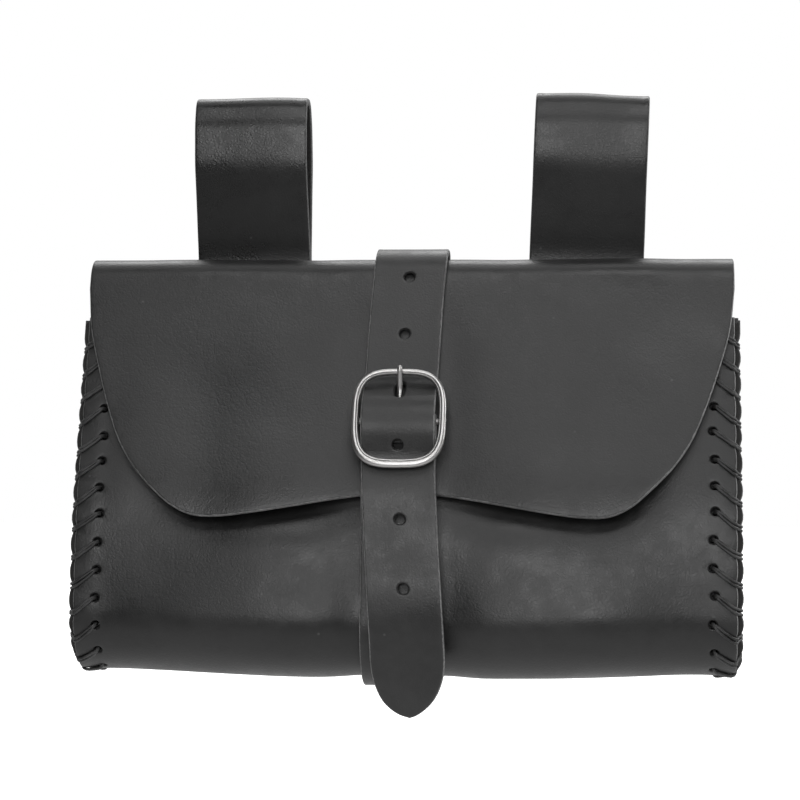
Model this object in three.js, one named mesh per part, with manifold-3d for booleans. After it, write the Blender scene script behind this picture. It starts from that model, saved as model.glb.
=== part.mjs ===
// Medieval belt pouch in black leather, closed by a strap and buckle.
//
// One long piece of leather is the front, the bottom, the back and the flap. A gusset closes each
// end, with its margins turned out and laced to the edges of the long piece. Two loops on the back
// carry the pouch on a belt. A punched strap comes over the flap from the back, runs through a
// centre-bar buckle and ends in a free tip below the bottom. The buckle hangs on a second strap,
// which comes up the front from under the pouch.
//
// Millimetres, +Z up, the front faces -Y. The origin is the middle of the belt's way through the
// loops. Side-view points are { y, z }.

import * as THREE from "three";
import { mergeVertices } from "three/addons/utils/BufferGeometryUtils.js";
import Module from "manifold-3d";

const wasm = await Module();
wasm.setup();

// Leather and clearances
const PANEL_LEATHER = 2.4;
const GUSSET_LEATHER = 2;
const LOOP_LEATHER = 2.4;
const STRAP_LEATHER = 2;
const GAP = 0.3; // between pieces that lie on each other

// Body
const PANEL_WIDTH = 212.5;
const BODY_HEIGHT = 134.6; // top of the fold to the bottom, at the seams
const BODY_DEPTH = 50;
const BELT_TO_TOP = 30.3; // belt's middle line down to the top of the fold
const FRONT_SWELL = 3.2; // how far the filled front stands out at its middle
const BOTTOM_SAG = 1.8;
const CHANNEL_DEPTH = 1.6; // the straps press a shallow channel into front and flap
const CHANNEL_FLAT = 31; // width of the channel's flat floor
const CHANNEL_SLOPE = 34; // width of the rise on each side of it

// Flap
const FLAP_STANDOFF = 0.9; // clear space between flap and front
const FLAP_LENGTH = 83.4; // top of the fold to the lowest point of a lobe, measured straight down

// Gussets
const SEAM_MARGIN = 9; // laced margin, from the panel's edge to the gusset's bend
const GUSSET_REACH = 1.5; // how far the gusset's margin stands out past the panel's edge
const GUSSET_BEND = 2.5;
const GUSSET_HOLLOW = 5; // how far a gusset's wall folds inwards at its middle

// Belt loops
const LOOP_WIDTH = 38;
const LOOP_TOP = 25.2; // above the belt's middle line
const LOOP_SPREAD = 17; // thickness of the loop at its widest, between the legs' middle lines
const LOOP_CREST = 11; // and at its top fold
const LOOP_WAIST_BEND = 26; // radii of the loop's easy bends
const LOOP_SHOULDER_BEND = 22;
const LOOP_FOOT = 33; // length of each sewn end below the top of the fold
// Their places are shares of the panel's half width.
const LOOPS = [
  { name: "belt_loop_left", place: -0.507, lean: -0.4, drop: 0.6 },
  { name: "belt_loop_right", place: 0.547, lean: 2.2, drop: 0 },
];

// Closing strap and the strap that holds the buckle
const STRAP_WIDTH = 23.6;
const STRAP_ARCH = 1.1; // how far it stands up over the fold
const STRAP_FOOT = 40; // sewn end on the back, below the top of the fold
const STRAP_BEND = 50; // radius of its easy bends down the front
const TIP_DROP = 9.8; // free tip, below the bottom of the body
const TIP_LENGTH = 18;
const TIP_CURL = 5.5; // how far the free tip leans back under the pouch
const HOLE_PITCH = 21.4;
const HOLE_PLACES = [-1.94, -1.01, 0, 0.93, 2.07, 3.1]; // by hand, in pitches from the prong's hole
const HOLE_DIAMETER = 3.5;
const PRONG_HOLE_LENGTH = 8.4; // the hole in use is drawn out by the prong
const BUCKLE_STRAP_FOOT = 52; // sewn end on the back, above the bottom
const FOLD_LEATHER = 1.2; // the buckle strap is pared where it folds round the bar
const FOLD_END = 8; // length of the folded end below the bar

// Buckle
const BUCKLE_WIDTH = 30.5;
const BUCKLE_HEIGHT = 34.2;
const BUCKLE_SQUARENESS = 4.1;
const BUCKLE_BELOW_TOP = 54; // its middle, below the top of the fold
const BUCKLE_ASIDE = -1.3;
const FRAME_THICKNESS = 2.2;
const FRAME_WIDTH_TOP = 2;
const FRAME_WIDTH_BOTTOM = 2.9;
const BAR_DIAMETER = 2;
const PRONG_DIAMETER = 1.9;
const PRONG_TIP_DIAMETER = 1.5;
const PRONG_REACH = 0.4; // how far the tip passes the frame
const PRONG_HOLE_PLACE = -0.58; // its hole's middle, as a share of half the frame's height
const FRAME_CLEARANCE = 1.7; // of the frame over the strap, at the top and bottom bars

// How finely the shapes are faceted
const FRONT_STEPS = 6;
const BELLY_STEPS = 3;
const TOE_STEPS = 6;
const BOTTOM_STEPS = 4;
const HEEL_STEPS = 5;
const BACK_STEPS = 4;
const CREST_STEPS = 5;
const FLAP_STEPS = 9;
const COLUMNS = 8; // from the channel's edge to the seam
const HOLE_SIDES = 10;
const FRAME_STEPS = 48;
const FRAME_SIDES = 8;
const PRONG_SIDES = 8;

// Places that follow from the sizes
const HALF_PANEL = PANEL_LEATHER / 2;
const HALF_STRAP = STRAP_LEATHER / 2;
const BACK_Y = -(LOOP_LEATHER + 1.5 * GAP); // outer face of the back, behind both legs of a loop
const TOP_Z = -BELT_TO_TOP;
const BOTTOM_Z = TOP_Z - BODY_HEIGHT;
const HALF_WIDTH = PANEL_WIDTH / 2;
const SEAM_X = HALF_WIDTH - SEAM_MARGIN;
const TIP_Z = BOTTOM_Z - BOTTOM_SAG - TIP_DROP;

// The panel's middle line in the side view, from the mouth down the front, round the bottom and up
// the back. Places are shares of the body's depth and height, and swell and sag are the shares of
// FRONT_SWELL and BOTTOM_SAG that a corner takes at the middle of the pouch.
const PANEL_CORNERS = [
  { name: "mouth", forward: 0.352, up: 0.855, round: 0, swell: 0, sag: 0 },
  { name: "belly", forward: 0.81, up: 0.387, round: 2.4, swell: 1, sag: 0 },
  { name: "toe", forward: 0.976, up: 0.009, round: 0.36, swell: 0.7, sag: 1 },
  { name: "heel", forward: 0.024, up: 0.009, round: 0.28, swell: 0, sag: 1 },
  { name: "crest_back", forward: 0.024, up: 0.991, round: 0.13, swell: 0, sag: 0 },
];
const CREST_FRONT_ROUND = 0.15;

// The flap's outline. Side edges: depth below the fold as a share of the flap's length, and half
// widths as shares of the panel's, the left lobe being a little fuller. Bottom edge: from the end
// of a side edge, at 1, to the middle.
const FLAP_SIDE = [
  { down: 0.12, left: 1, right: 1 },
  { down: 0.285, left: 0.984, right: 0.984 },
  { down: 0.45, left: 0.949, right: 0.947 },
  { down: 0.6, left: 0.911, right: 0.905 },
  { down: 0.72, left: 0.872, right: 0.862 },
  { down: 0.815, left: 0.825, right: 0.81 },
  { down: 0.885, left: 0.775, right: 0.755 },
];
const FLAP_BOTTOM = [
  { across: 1, down: 0.885 },
  { across: 0.91, down: 0.957 },
  { across: 0.82, down: 0.995 },
  { across: 0.71, down: 0.998 },
  { across: 0.58, down: 0.982 },
  { across: 0.42, down: 0.956 },
  { across: 0.26, down: 0.929 },
  { across: 0.13, down: 0.912 },
  { across: 0, down: 0.905 },
];

// The closing strap wanders from side to side: height as a share of the body's, from the bottom.
const STRAP_WANDER = [
  { up: -0.1, aside: 2.6 },
  { up: 0.1, aside: 2.1 },
  { up: 0.35, aside: -0.1 },
  { up: 0.58, aside: -1.5 },
  { up: 0.85, aside: -0.4 },
  { up: 1.02, aside: 1 },
];

// The strap's tip: across as a share of its width, along as a share of TIP_LENGTH.
const TIP_OUTLINE = [
  { across: -0.5, along: 0 },
  { across: -0.48, along: 0.25 },
  { across: -0.42, along: 0.52 },
  { across: -0.33, along: 0.74 },
  { across: -0.2, along: 0.9 },
  { across: -0.07, along: 0.985 },
  { across: 0.05, along: 1 },
  { across: 0.2, along: 0.885 },
  { across: 0.33, along: 0.71 },
  { across: 0.42, along: 0.5 },
  { across: 0.48, along: 0.24 },
  { across: 0.5, along: 0 },
];

// Small mathematics

const mix = (a, b, share) => a + (b - a) * share;

// 0 up to start, 1 from end, smooth between.
function ramp(value, start, end) {
  const share = Math.min(1, Math.max(0, (value - start) / (end - start)));
  return share * share * (3 - 2 * share);
}

// A smooth curve through a table's rows, read at a value of one column.
function readTable(rows, key, column, value) {
  const flip = rows[0][key] > rows.at(-1)[key] ? -1 : 1;
  let i = 0;
  while (i < rows.length - 2 && flip * value > flip * rows[i + 1][key]) i++;
  const slope = (k) => {
    const low = rows[Math.max(0, k - 1)];
    const high = rows[Math.min(rows.length - 1, k + 1)];
    return (high[column] - low[column]) / (high[key] - low[key]);
  };
  const [a, b] = [rows[i], rows[i + 1]];
  const span = b[key] - a[key];
  const t = Math.min(1, Math.max(0, (value - a[key]) / span));
  const [t2, t3] = [t * t, t * t * t];
  return (
    (2 * t3 - 3 * t2 + 1) * a[column] +
    (t3 - 2 * t2 + t) * span * slope(i) +
    (3 * t2 - 2 * t3) * b[column] +
    (t3 - t2) * span * slope(i + 1)
  );
}

// Side-view lines with rounded corners

const distance = (a, b) => Math.hypot(b.y - a.y, b.z - a.z);

function straight(from, to, steps = 1) {
  const length = distance(from, to);
  const tangent = { y: (to.y - from.y) / length, z: (to.z - from.z) / length };
  const at = (t) => ({ y: mix(from.y, to.y, t), z: mix(from.z, to.z, t), tangent });
  return { at, length, steps };
}

function direction(from, to) {
  const angle = Math.atan2(to.z - from.z, to.y - from.y);
  return { y: Math.cos(angle), z: Math.sin(angle), angle };
}

// The arc that rounds a corner between its two neighbours, limited to its half of each side.
function cornerArc(before, corner, after) {
  const come = direction(before, corner);
  const go = direction(corner, after);
  const turn = Math.atan2(come.y * go.z - come.z * go.y, come.y * go.y + come.z * go.z);
  const room = 0.499 * Math.min(distance(before, corner), distance(corner, after));
  const round = Math.min(corner.round, room / Math.tan(Math.abs(turn) / 2));
  const cut = round * Math.tan(Math.abs(turn) / 2);
  const side = Math.sign(turn);
  const start = { y: corner.y - come.y * cut, z: corner.z - come.z * cut };
  const end = { y: corner.y + go.y * cut, z: corner.z + go.z * cut };
  const centre = {
    y: start.y - come.z * round * side,
    z: start.z + come.y * round * side,
  };
  const at = (t) => {
    const angle = come.angle + turn * t;
    return {
      y: centre.y + Math.sin(angle) * round * side,
      z: centre.z - Math.cos(angle) * round * side,
      tangent: { y: Math.cos(angle), z: Math.sin(angle) },
    };
  };
  return { start, end, at, length: round * Math.abs(turn), steps: corner.steps };
}

// Corners are { y, z, round, steps, lead }: steps facet the arc, lead the straight before it.
function roundedLine(corners) {
  const pieces = [];
  let from = corners[0];
  corners.slice(1, -1).forEach((corner, i) => {
    const arc = cornerArc(corners[i], corner, corners[i + 2]);
    pieces.push(straight(from, arc.start, corner.lead ?? 1), arc);
    from = arc.end;
  });
  pieces.push(straight(from, corners.at(-1), corners.at(-1).lead ?? 1));
  return pieces;
}

// The same corners moved sideways: outwards is to the right of the way the line runs.
function offsetCorners(corners, offset) {
  return corners.map((corner, i) => {
    const come = direction(corners[Math.max(0, i - 1)], corners[Math.max(1, i)]);
    const last = corners.length - 1;
    const go = direction(corners[Math.min(i, last - 1)], corners[Math.min(i + 1, last)]);
    const turn = come.y * go.z - come.z * go.y;
    const half = { y: come.y + go.y, z: come.z + go.z };
    const size = Math.hypot(half.y, half.z);
    const reach = offset / (size / 2);
    return {
      ...corner,
      y: corner.y + (half.z / size) * reach,
      z: corner.z - (half.y / size) * reach,
      round: corner.round ? corner.round + offset * Math.sign(turn) : 0,
    };
  });
}

function sampleLine(pieces) {
  const points = [pieces[0].at(0)];
  for (const piece of pieces)
    for (let i = 1; i <= piece.steps; i++) points.push(piece.at(i / piece.steps));
  return points;
}

function alongLine(pieces, travelled) {
  let left = travelled;
  for (const piece of pieces) {
    if (left <= piece.length) return piece.at(left / piece.length);
    left -= piece.length;
  }
  return pieces.at(-1).at(1);
}

// The point of a line that runs steadily down, at one height.
function atHeight(pieces, z) {
  const piece = pieces.find((p) => p.at(1).z <= z) ?? pieces.at(-1);
  let [low, high] = [0, 1];
  for (let i = 0; i < 40; i++) {
    const middle = (low + high) / 2;
    if (piece.at(middle).z > z) low = middle;
    else high = middle;
  }
  return piece.at((low + high) / 2);
}

// How much of the swell is left at a distance from the middle of the pouch.
function fullness(x) {
  const off = Math.max(0, Math.abs(x) - CHANNEL_FLAT / 2) / (SEAM_X - CHANNEL_FLAT / 2);
  return off < 1 ? (1 - off * off) ** 2 : 0;
}

function channel(x) {
  return CHANNEL_DEPTH * (1 - ramp(Math.abs(x), CHANNEL_FLAT / 2, CHANNEL_FLAT / 2 + CHANNEL_SLOPE));
}

// The body's corners at one place across the pouch.
function bodyCorners(x) {
  const corner = Object.fromEntries(
    PANEL_CORNERS.map((row) => [
      row.name,
      {
        y: BACK_Y - row.forward * BODY_DEPTH - row.swell * (FRONT_SWELL * fullness(x) - channel(x)),
        z: BOTTOM_Z + row.up * BODY_HEIGHT - row.sag * BOTTOM_SAG * fullness(x),
        round: row.round * BODY_DEPTH,
      },
    ]),
  );
  Object.assign(corner.belly, { steps: BELLY_STEPS, lead: FRONT_STEPS });
  Object.assign(corner.toe, { steps: TOE_STEPS, lead: BELLY_STEPS });
  Object.assign(corner.heel, { steps: HEEL_STEPS, lead: BOTTOM_STEPS });
  Object.assign(corner.crest_back, { steps: CREST_STEPS, lead: BACK_STEPS });
  return corner;
}

// The flap's corners: it lies in front of the front, from the top of the fold down.
function flapCorners(x) {
  const { mouth, belly, toe, crest_back } = bodyCorners(x);
  const [top, middle, end] = offsetCorners([mouth, belly, toe], PANEL_LEATHER + FLAP_STANDOFF);
  const share = (crest_back.z - top.z) / (middle.z - top.z);
  const crest_front = {
    y: mix(top.y, middle.y, share),
    z: crest_back.z,
    round: CREST_FRONT_ROUND * BODY_DEPTH,
    steps: CREST_STEPS,
  };
  return { crest_front, belly: middle, toe: end };
}

// The whole panel's line at one place across the pouch, and the part of it that is the flap.
function panelLine(x) {
  const body = bodyCorners(x);
  const flap = flapCorners(x);
  const all = [...Object.values(body), flap.crest_front, flap.belly, flap.toe];
  const pieces = roundedLine(all);
  const flapStart = 10; // after the arc at the front of the fold
  return { body: pieces.slice(0, flapStart), flap: pieces.slice(flapStart) };
}

// Solids

function toSolid(geometry) {
  const bare = geometry.clone();
  bare.deleteAttribute("normal");
  bare.deleteAttribute("uv");
  const merged = mergeVertices(bare, 1e-4);
  return new wasm.Manifold(
    new wasm.Mesh({
      numProp: 3,
      vertProperties: new Float32Array(merged.attributes.position.array),
      triVerts: new Uint32Array(merged.index.array),
    }),
  );
}

function toGeometry(solid) {
  const { vertProperties, triVerts } = solid.getMesh();
  return new THREE.BufferGeometry()
    .setAttribute("position", new THREE.BufferAttribute(vertProperties, 3))
    .setIndex(new THREE.BufferAttribute(triVerts, 1));
}

function meshGeometry(points, faces) {
  return new THREE.BufferGeometry()
    .setAttribute("position", new THREE.Float32BufferAttribute(points.flatMap((p) => p.toArray()), 3))
    .setIndex(faces.flat());
}

// An open sheet of quads gets a thickness. Its outer face is the one that its quads turn to.
function thicken(points, quads, thickness) {
  const normals = points.map(() => new THREE.Vector3());
  const edges = new Map();
  for (const quad of quads) {
    const [a, b, c, d] = quad.map((i) => points[i]);
    const normal = new THREE.Vector3().crossVectors(
      new THREE.Vector3().subVectors(c, a),
      new THREE.Vector3().subVectors(d, b),
    );
    quad.forEach((i) => normals[i].add(normal.clone().normalize()));
    quad.forEach((i, k) => {
      const next = quad[(k + 1) % 4];
      if (!edges.delete(`${next},${i}`)) edges.set(`${i},${next}`, [i, next]);
    });
  }
  const count = points.length;
  const move = (sign) =>
    points.map((p, i) => p.clone().addScaledVector(normals[i].clone().normalize(), (sign * thickness) / 2));
  const faces = [];
  for (const [a, b, c, d] of quads) {
    faces.push([a, b, c], [a, c, d]);
    faces.push([count + c, count + b, count + a], [count + d, count + c, count + a]);
  }
  for (const [a, b] of edges.values()) faces.push([b, a, count + a], [b, count + a, count + b]);
  return meshGeometry([...move(1), ...move(-1)], faces);
}

// A strip of leather of even width, from its line in the side view and its thickness at a point.
function strip(pieces, width, thicknessAt) {
  const points = sampleLine(pieces);
  const side = (sign) =>
    points.map((point) => {
      const half = (sign * thicknessAt(point)) / 2;
      return new THREE.Vector2(point.y + point.tangent.z * half, point.z - point.tangent.y * half);
    });
  const shape = new THREE.Shape([...side(1), ...side(-1).reverse()]);
  const geometry = new THREE.ExtrudeGeometry(shape, { depth: width, bevelEnabled: false });
  const sideways = new THREE.Matrix4().makeBasis(
    new THREE.Vector3(0, 1, 0),
    new THREE.Vector3(0, 0, 1),
    new THREE.Vector3(1, 0, 0),
  );
  return geometry.translate(0, 0, -width / 2).applyMatrix4(sideways);
}

// A round bar along points of a side-view line, with flat ends. Radii go with the points.
function roundBar(points, radii, sides) {
  const vertices = points.flatMap(({ y, z, tangent }, i) =>
    Array.from({ length: sides }, (_, k) => {
      const angle = (2 * Math.PI * k) / sides;
      const out = Math.sin(angle) * radii[i];
      return new THREE.Vector3(Math.cos(angle) * radii[i], y + tangent.z * out, z - tangent.y * out);
    }),
  );
  const faces = [];
  for (let i = 0; i < points.length - 1; i++)
    for (let k = 0; k < sides; k++) {
      const [a, b] = [i * sides + k, i * sides + ((k + 1) % sides)];
      faces.push([a, b, b + sides], [a, b + sides, a + sides]);
    }
  const last = vertices.length - sides;
  for (let k = 1; k < sides - 1; k++) {
    faces.push([0, k + 1, k], [last, last + k, last + k + 1]);
  }
  return meshGeometry(vertices, faces);
}

// A pin that cuts a round or drawn-out hole through a strip, square to it at a point of its line.
function holeCutter({ y, z, tangent }, x, length = HOLE_DIAMETER) {
  const radius = HOLE_DIAMETER / 2;
  const half = (length - HOLE_DIAMETER) / 2;
  const shape = new THREE.Shape();
  shape.absarc(0, half, radius, 0, Math.PI, false);
  shape.absarc(0, -half, radius, Math.PI, 2 * Math.PI, false);
  const depth = 4 * STRAP_LEATHER;
  const options = { depth, bevelEnabled: false, curveSegments: HOLE_SIDES / 2 };
  const geometry = new THREE.ExtrudeGeometry(shape, options).translate(0, 0, -depth / 2);
  const along = new THREE.Vector3(0, tangent.y, tangent.z);
  const through = new THREE.Vector3(0, tangent.z, -tangent.y);
  const across = new THREE.Vector3().crossVectors(along, through);
  const place = new THREE.Matrix4().makeBasis(across, along, through).setPosition(x, y, z);
  return toSolid(geometry.applyMatrix4(place));
}

// Body panel: front, bottom, back and flap in one piece

function columns() {
  const inner = SEAM_X - CHANNEL_FLAT / 2;
  const half = [0, CHANNEL_FLAT / 4, CHANNEL_FLAT / 2];
  for (let i = 1; i <= COLUMNS; i++) half.push(CHANNEL_FLAT / 2 + (inner * i) / COLUMNS);
  half.push(HALF_WIDTH);
  return [...half.slice(1).reverse().map((x) => -x), ...half];
}

function flapRow(x0, share) {
  const across = Math.abs(x0) / HALF_WIDTH;
  const side = x0 < 0 ? "left" : "right";
  const [first, last] = [FLAP_SIDE[0], FLAP_SIDE.at(-1)];
  const half = readTable(FLAP_SIDE, "down", side, mix(first.down, last.down, share));
  const xAt = (halfWidth) => x0 * (1 - (1 - halfWidth) * across * across);
  const lobeShare = Math.abs(xAt(last[side])) / (HALF_WIDTH * last[side]);
  const endDown = readTable(FLAP_BOTTOM, "across", "down", lobeShare);
  const x = xAt(half);
  const z = TOP_Z - mix(first.down, endDown, share) * FLAP_LENGTH;
  return new THREE.Vector3(x, atHeight(panelLine(x).flap, z).y, z);
}

function bodyPanel() {
  const across = columns();
  const lines = across.map((x) =>
    sampleLine(panelLine(x).body).map(({ y, z }) => new THREE.Vector3(x, y, z)),
  );
  lines.forEach((line, k) => {
    for (let i = 1; i <= FLAP_STEPS; i++) line.push(flapRow(across[k], i / FLAP_STEPS));
  });
  const rows = lines[0].length;
  const points = lines.flat();
  const quads = [];
  for (let k = 0; k < across.length - 1; k++)
    for (let i = 0; i < rows - 1; i++) {
      const a = k * rows + i;
      quads.push([a, a + 1, a + rows + 1, a + rows]);
    }
  return thicken(points, quads, PANEL_LEATHER);
}

// Gussets: a wall between front and back, with its margins turned out to the seams

function gusset(side) {
  const { mouth, belly, toe, heel } = bodyCorners(HALF_WIDTH);
  const back = { y: heel.y, z: mouth.z, round: 0, lead: FRONT_STEPS + 2 * BELLY_STEPS };
  const inset = -(HALF_PANEL + 1.5 * GAP + GUSSET_LEATHER / 2);
  const corners = [mouth, belly, toe, { ...heel, steps: TOE_STEPS }, back];
  const seam = sampleLine(roundedLine(offsetCorners(corners, inset)));
  const turned = (inwards) =>
    seam.map(({ y, z, tangent }) => ({ y: y - tangent.z * inwards, z: z + tangent.y * inwards }));
  const middle = Math.SQRT1_2 * GUSSET_BEND;
  const rings = [
    { x: HALF_WIDTH + GUSSET_REACH, inwards: 0 },
    { x: SEAM_X, inwards: 0 },
    { x: SEAM_X - middle, inwards: GUSSET_BEND - middle },
    { x: SEAM_X - GUSSET_BEND, inwards: GUSSET_BEND },
  ];
  const points = rings.flatMap(({ x, inwards }) =>
    turned(inwards).map(({ y, z }) => new THREE.Vector3(side * x, y, z)),
  );
  const count = seam.length;
  const quads = [];
  const addQuad = (a, b, c, d) => quads.push(side > 0 ? [a, b, c, d] : [d, c, b, a]);
  for (let ring = 0; ring < rings.length - 1; ring++)
    for (let i = 0; i < count - 1; i++) {
      const a = ring * count + i;
      addQuad(a, a + 1, a + count + 1, a + count);
    }

  // The wall fills the innermost ring: sides down the front and back, floor along the bottom.
  const rim = (rings.length - 1) * count;
  const down = (count - 1 - (TOE_STEPS + BOTTOM_STEPS)) / 2;
  const over = TOE_STEPS + BOTTOM_STEPS;
  const wall = (i, k) => {
    if (k === 0) return rim + i;
    if (k === over) return rim + count - 1 - i;
    if (i === down) return rim + down + k;
    return points.length - 1;
  };
  const index = [];
  for (let i = 0; i <= down; i++) {
    index.push([]);
    for (let k = 0; k <= over; k++) {
      const onRim = k === 0 || k === over || i === down;
      if (!onRim) {
        const [u, v] = [k / over, i / down];
        const [front, rear] = [points[rim + i], points[rim + count - 1 - i]];
        const [frontLow, rearLow] = [points[rim + down], points[rim + down + over]];
        const low = points[rim + down + k];
        const top = new THREE.Vector3().lerpVectors(points[rim], points[rim + count - 1], u);
        const point = new THREE.Vector3()
          .lerpVectors(front, rear, u)
          .addScaledVector(top, 1 - v)
          .addScaledVector(low, v)
          .addScaledVector(new THREE.Vector3().lerpVectors(points[rim], points[rim + count - 1], u), v - 1)
          .addScaledVector(new THREE.Vector3().lerpVectors(frontLow, rearLow, u), -v);
        point.x -= side * GUSSET_HOLLOW * Math.sin(Math.PI * u) * (1 - v * v);
        points.push(point);
      }
      index[i].push(wall(i, k));
    }
  }
  for (let i = 0; i < down; i++)
    for (let k = 0; k < over; k++)
      addQuad(index[i][k], index[i + 1][k], index[i + 1][k + 1], index[i][k + 1]);
  return thicken(points, quads, GUSSET_LEATHER);
}

// Belt loops: a strip sewn to the back by both ends, standing up round over the pouch

function beltLoop() {
  const foot = TOP_Z - LOOP_FOOT;
  const leg = (LOOP_LEATHER + GAP) / 2;
  const wide = LOOP_SPREAD / 2;
  const waist = TOP_Z + 3;
  const top = LOOP_TOP - LOOP_LEATHER / 2;
  const crest = LOOP_CREST / 2;
  const shoulder = mix(waist, top, 0.52);
  const corners = [
    { y: -leg, z: foot, round: 0 },
    { y: -leg, z: waist, round: LOOP_WAIST_BEND, steps: 4, lead: 3 },
    { y: -wide, z: shoulder, round: LOOP_SHOULDER_BEND, steps: 5 },
    { y: -crest, z: top, round: crest - 0.5, steps: 8 },
    { y: crest, z: top, round: crest - 0.5, steps: 8 },
    { y: wide, z: shoulder, round: LOOP_SHOULDER_BEND, steps: 5 },
    { y: leg, z: waist, round: LOOP_WAIST_BEND, steps: 4 },
    { y: leg, z: foot, round: 0, lead: 3 },
  ];
  return strip(roundedLine(corners), LOOP_WIDTH, () => LOOP_LEATHER);
}

// The buckle's own frame: along runs down the flap's face, out stands off it.

const strapOffset = HALF_PANEL + GAP + HALF_STRAP; // from the panel's middle line to a strap's
const flapAtMiddle = offsetCorners(Object.values(flapCorners(0)), HALF_PANEL);
const flapSlope = direction(flapAtMiddle[0], flapAtMiddle[1]);
const buckleMiddle = atHeight([straight(flapAtMiddle[0], flapAtMiddle[1])], TOP_Z - BUCKLE_BELOW_TOP);

function onFlap(along, out, extra = {}) {
  return {
    y: buckleMiddle.y + flapSlope.y * along + flapSlope.z * out,
    z: buckleMiddle.z + flapSlope.z * along - flapSlope.y * out,
    round: 0,
    ...extra,
  };
}

function alongFlap({ y, z }) {
  return (y - buckleMiddle.y) * flapSlope.y + (z - buckleMiddle.z) * flapSlope.z;
}

const layer = GAP + HALF_STRAP; // a strap's middle line above what it lies on
const secondLayer = layer + STRAP_LEATHER + GAP;
const barOut = GAP + PRONG_DIAMETER + GAP + BAR_DIAMETER / 2;
const foldRadius = BAR_DIAMETER / 2 + GAP + FOLD_LEATHER / 2;
const strapOverBar = barOut + BAR_DIAMETER / 2 + GAP + PRONG_DIAMETER + GAP + HALF_STRAP;
const halfFrame = BUCKLE_HEIGHT / 2;
const flapEdgeZ = TOP_Z - FLAP_BOTTOM.at(-1).down * FLAP_LENGTH;
const edgeAlong = (buckleMiddle.z - flapEdgeZ) / -flapSlope.z; // the flap's edge, from the bar
const topBarOut = layer + HALF_STRAP + FRAME_CLEARANCE + FRAME_THICKNESS / 2;
const bottomBarOut = secondLayer + HALF_STRAP + FRAME_CLEARANCE + FRAME_THICKNESS / 2;

// Closing strap

function closingStrapLine() {
  const body = bodyCorners(0);
  const flap = flapCorners(0);
  const foot = { y: body.crest_back.y, z: TOP_Z - STRAP_FOOT, round: 0 };
  const over = offsetCorners(
    [foot, { ...body.crest_back, lead: 2 }, flap.crest_front, flap.belly],
    strapOffset,
  ).slice(0, 3);
  for (const corner of over.slice(1)) corner.z += STRAP_ARCH;
  const front = offsetCorners([body.mouth, body.belly, body.toe], HALF_PANEL + secondLayer)[2];
  const tip = { y: front.y + TIP_CURL, z: TIP_Z, round: 0, lead: 4 };
  return roundedLine([
    ...over,
    onFlap(-0.85 * halfFrame, layer, { round: 4.5 * STRAP_LEATHER, steps: 3, lead: 4 }),
    onFlap(-0.25 * halfFrame, strapOverBar + GAP, { round: 3.5 * STRAP_LEATHER, steps: 3 }),
    onFlap(0.21 * halfFrame, strapOverBar + GAP, { round: 3 * STRAP_LEATHER, steps: 3 }),
    onFlap(0.72 * halfFrame, secondLayer + GAP, { round: 5 * STRAP_LEATHER, steps: 3 }),
    onFlap(edgeAlong, secondLayer + GAP, { round: STRAP_BEND, steps: 3, lead: 2 }),
    { y: front.y, z: mix(BOTTOM_Z, TOP_Z, 0.17), round: STRAP_BEND, steps: 4, lead: 2 },
    tip,
  ]);
}

function wander(z) {
  return readTable(STRAP_WANDER, "up", "aside", (z - BOTTOM_Z) / BODY_HEIGHT);
}

function closingStrap() {
  const line = closingStrapLine();
  const geometry = strip(line, STRAP_WIDTH, () => STRAP_LEATHER);
  const place = geometry.attributes.position;
  for (let i = 0; i < place.count; i++) place.setX(i, place.getX(i) + wander(place.getZ(i)));
  let strap = toSolid(geometry);

  // The pointed tip is cut square to the front.
  const start = TIP_Z + TIP_LENGTH;
  const outline = TIP_OUTLINE.map(({ across, along }) => {
    const z = start - along * TIP_LENGTH;
    return new THREE.Vector2(across * STRAP_WIDTH + wander(z), -z);
  });
  const beyond = STRAP_WIDTH;
  const keep = new THREE.Shape([
    new THREE.Vector2(-beyond, -start),
    ...outline,
    new THREE.Vector2(beyond, -start),
    new THREE.Vector2(beyond, -LOOP_TOP),
    new THREE.Vector2(-beyond, -LOOP_TOP),
  ]);
  const depth = 4 * BODY_DEPTH;
  const prism = new THREE.ExtrudeGeometry(keep, { depth, bevelEnabled: false })
    .translate(0, 0, -depth / 2)
    .rotateX(-Math.PI / 2);
  strap = strap.intersect(toSolid(prism));

  // Punched holes, spaced from the one that the prong uses.
  const prongHole = prongHoleDistance(line);
  for (const place of HOLE_PLACES) {
    const point = alongLine(line, prongHole + place * HOLE_PITCH);
    const length = place === 0 ? PRONG_HOLE_LENGTH : HOLE_DIAMETER;
    const x = place === 0 ? BUCKLE_ASIDE : wander(point.z);
    strap = strap.subtract(holeCutter(point, x, length));
  }
  return toGeometry(strap);
}

// How far along the strap the prong comes through, between the bar and the frame's top.
function prongHoleDistance(line) {
  const total = line.reduce((sum, piece) => sum + piece.length, 0);
  const step = 0.05;
  let travelled = total;
  while (alongFlap(alongLine(line, travelled)) > PRONG_HOLE_PLACE * halfFrame) travelled -= step;
  return travelled;
}

// Buckle strap: up the front from under the pouch, folded forwards round the buckle's bar

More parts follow.
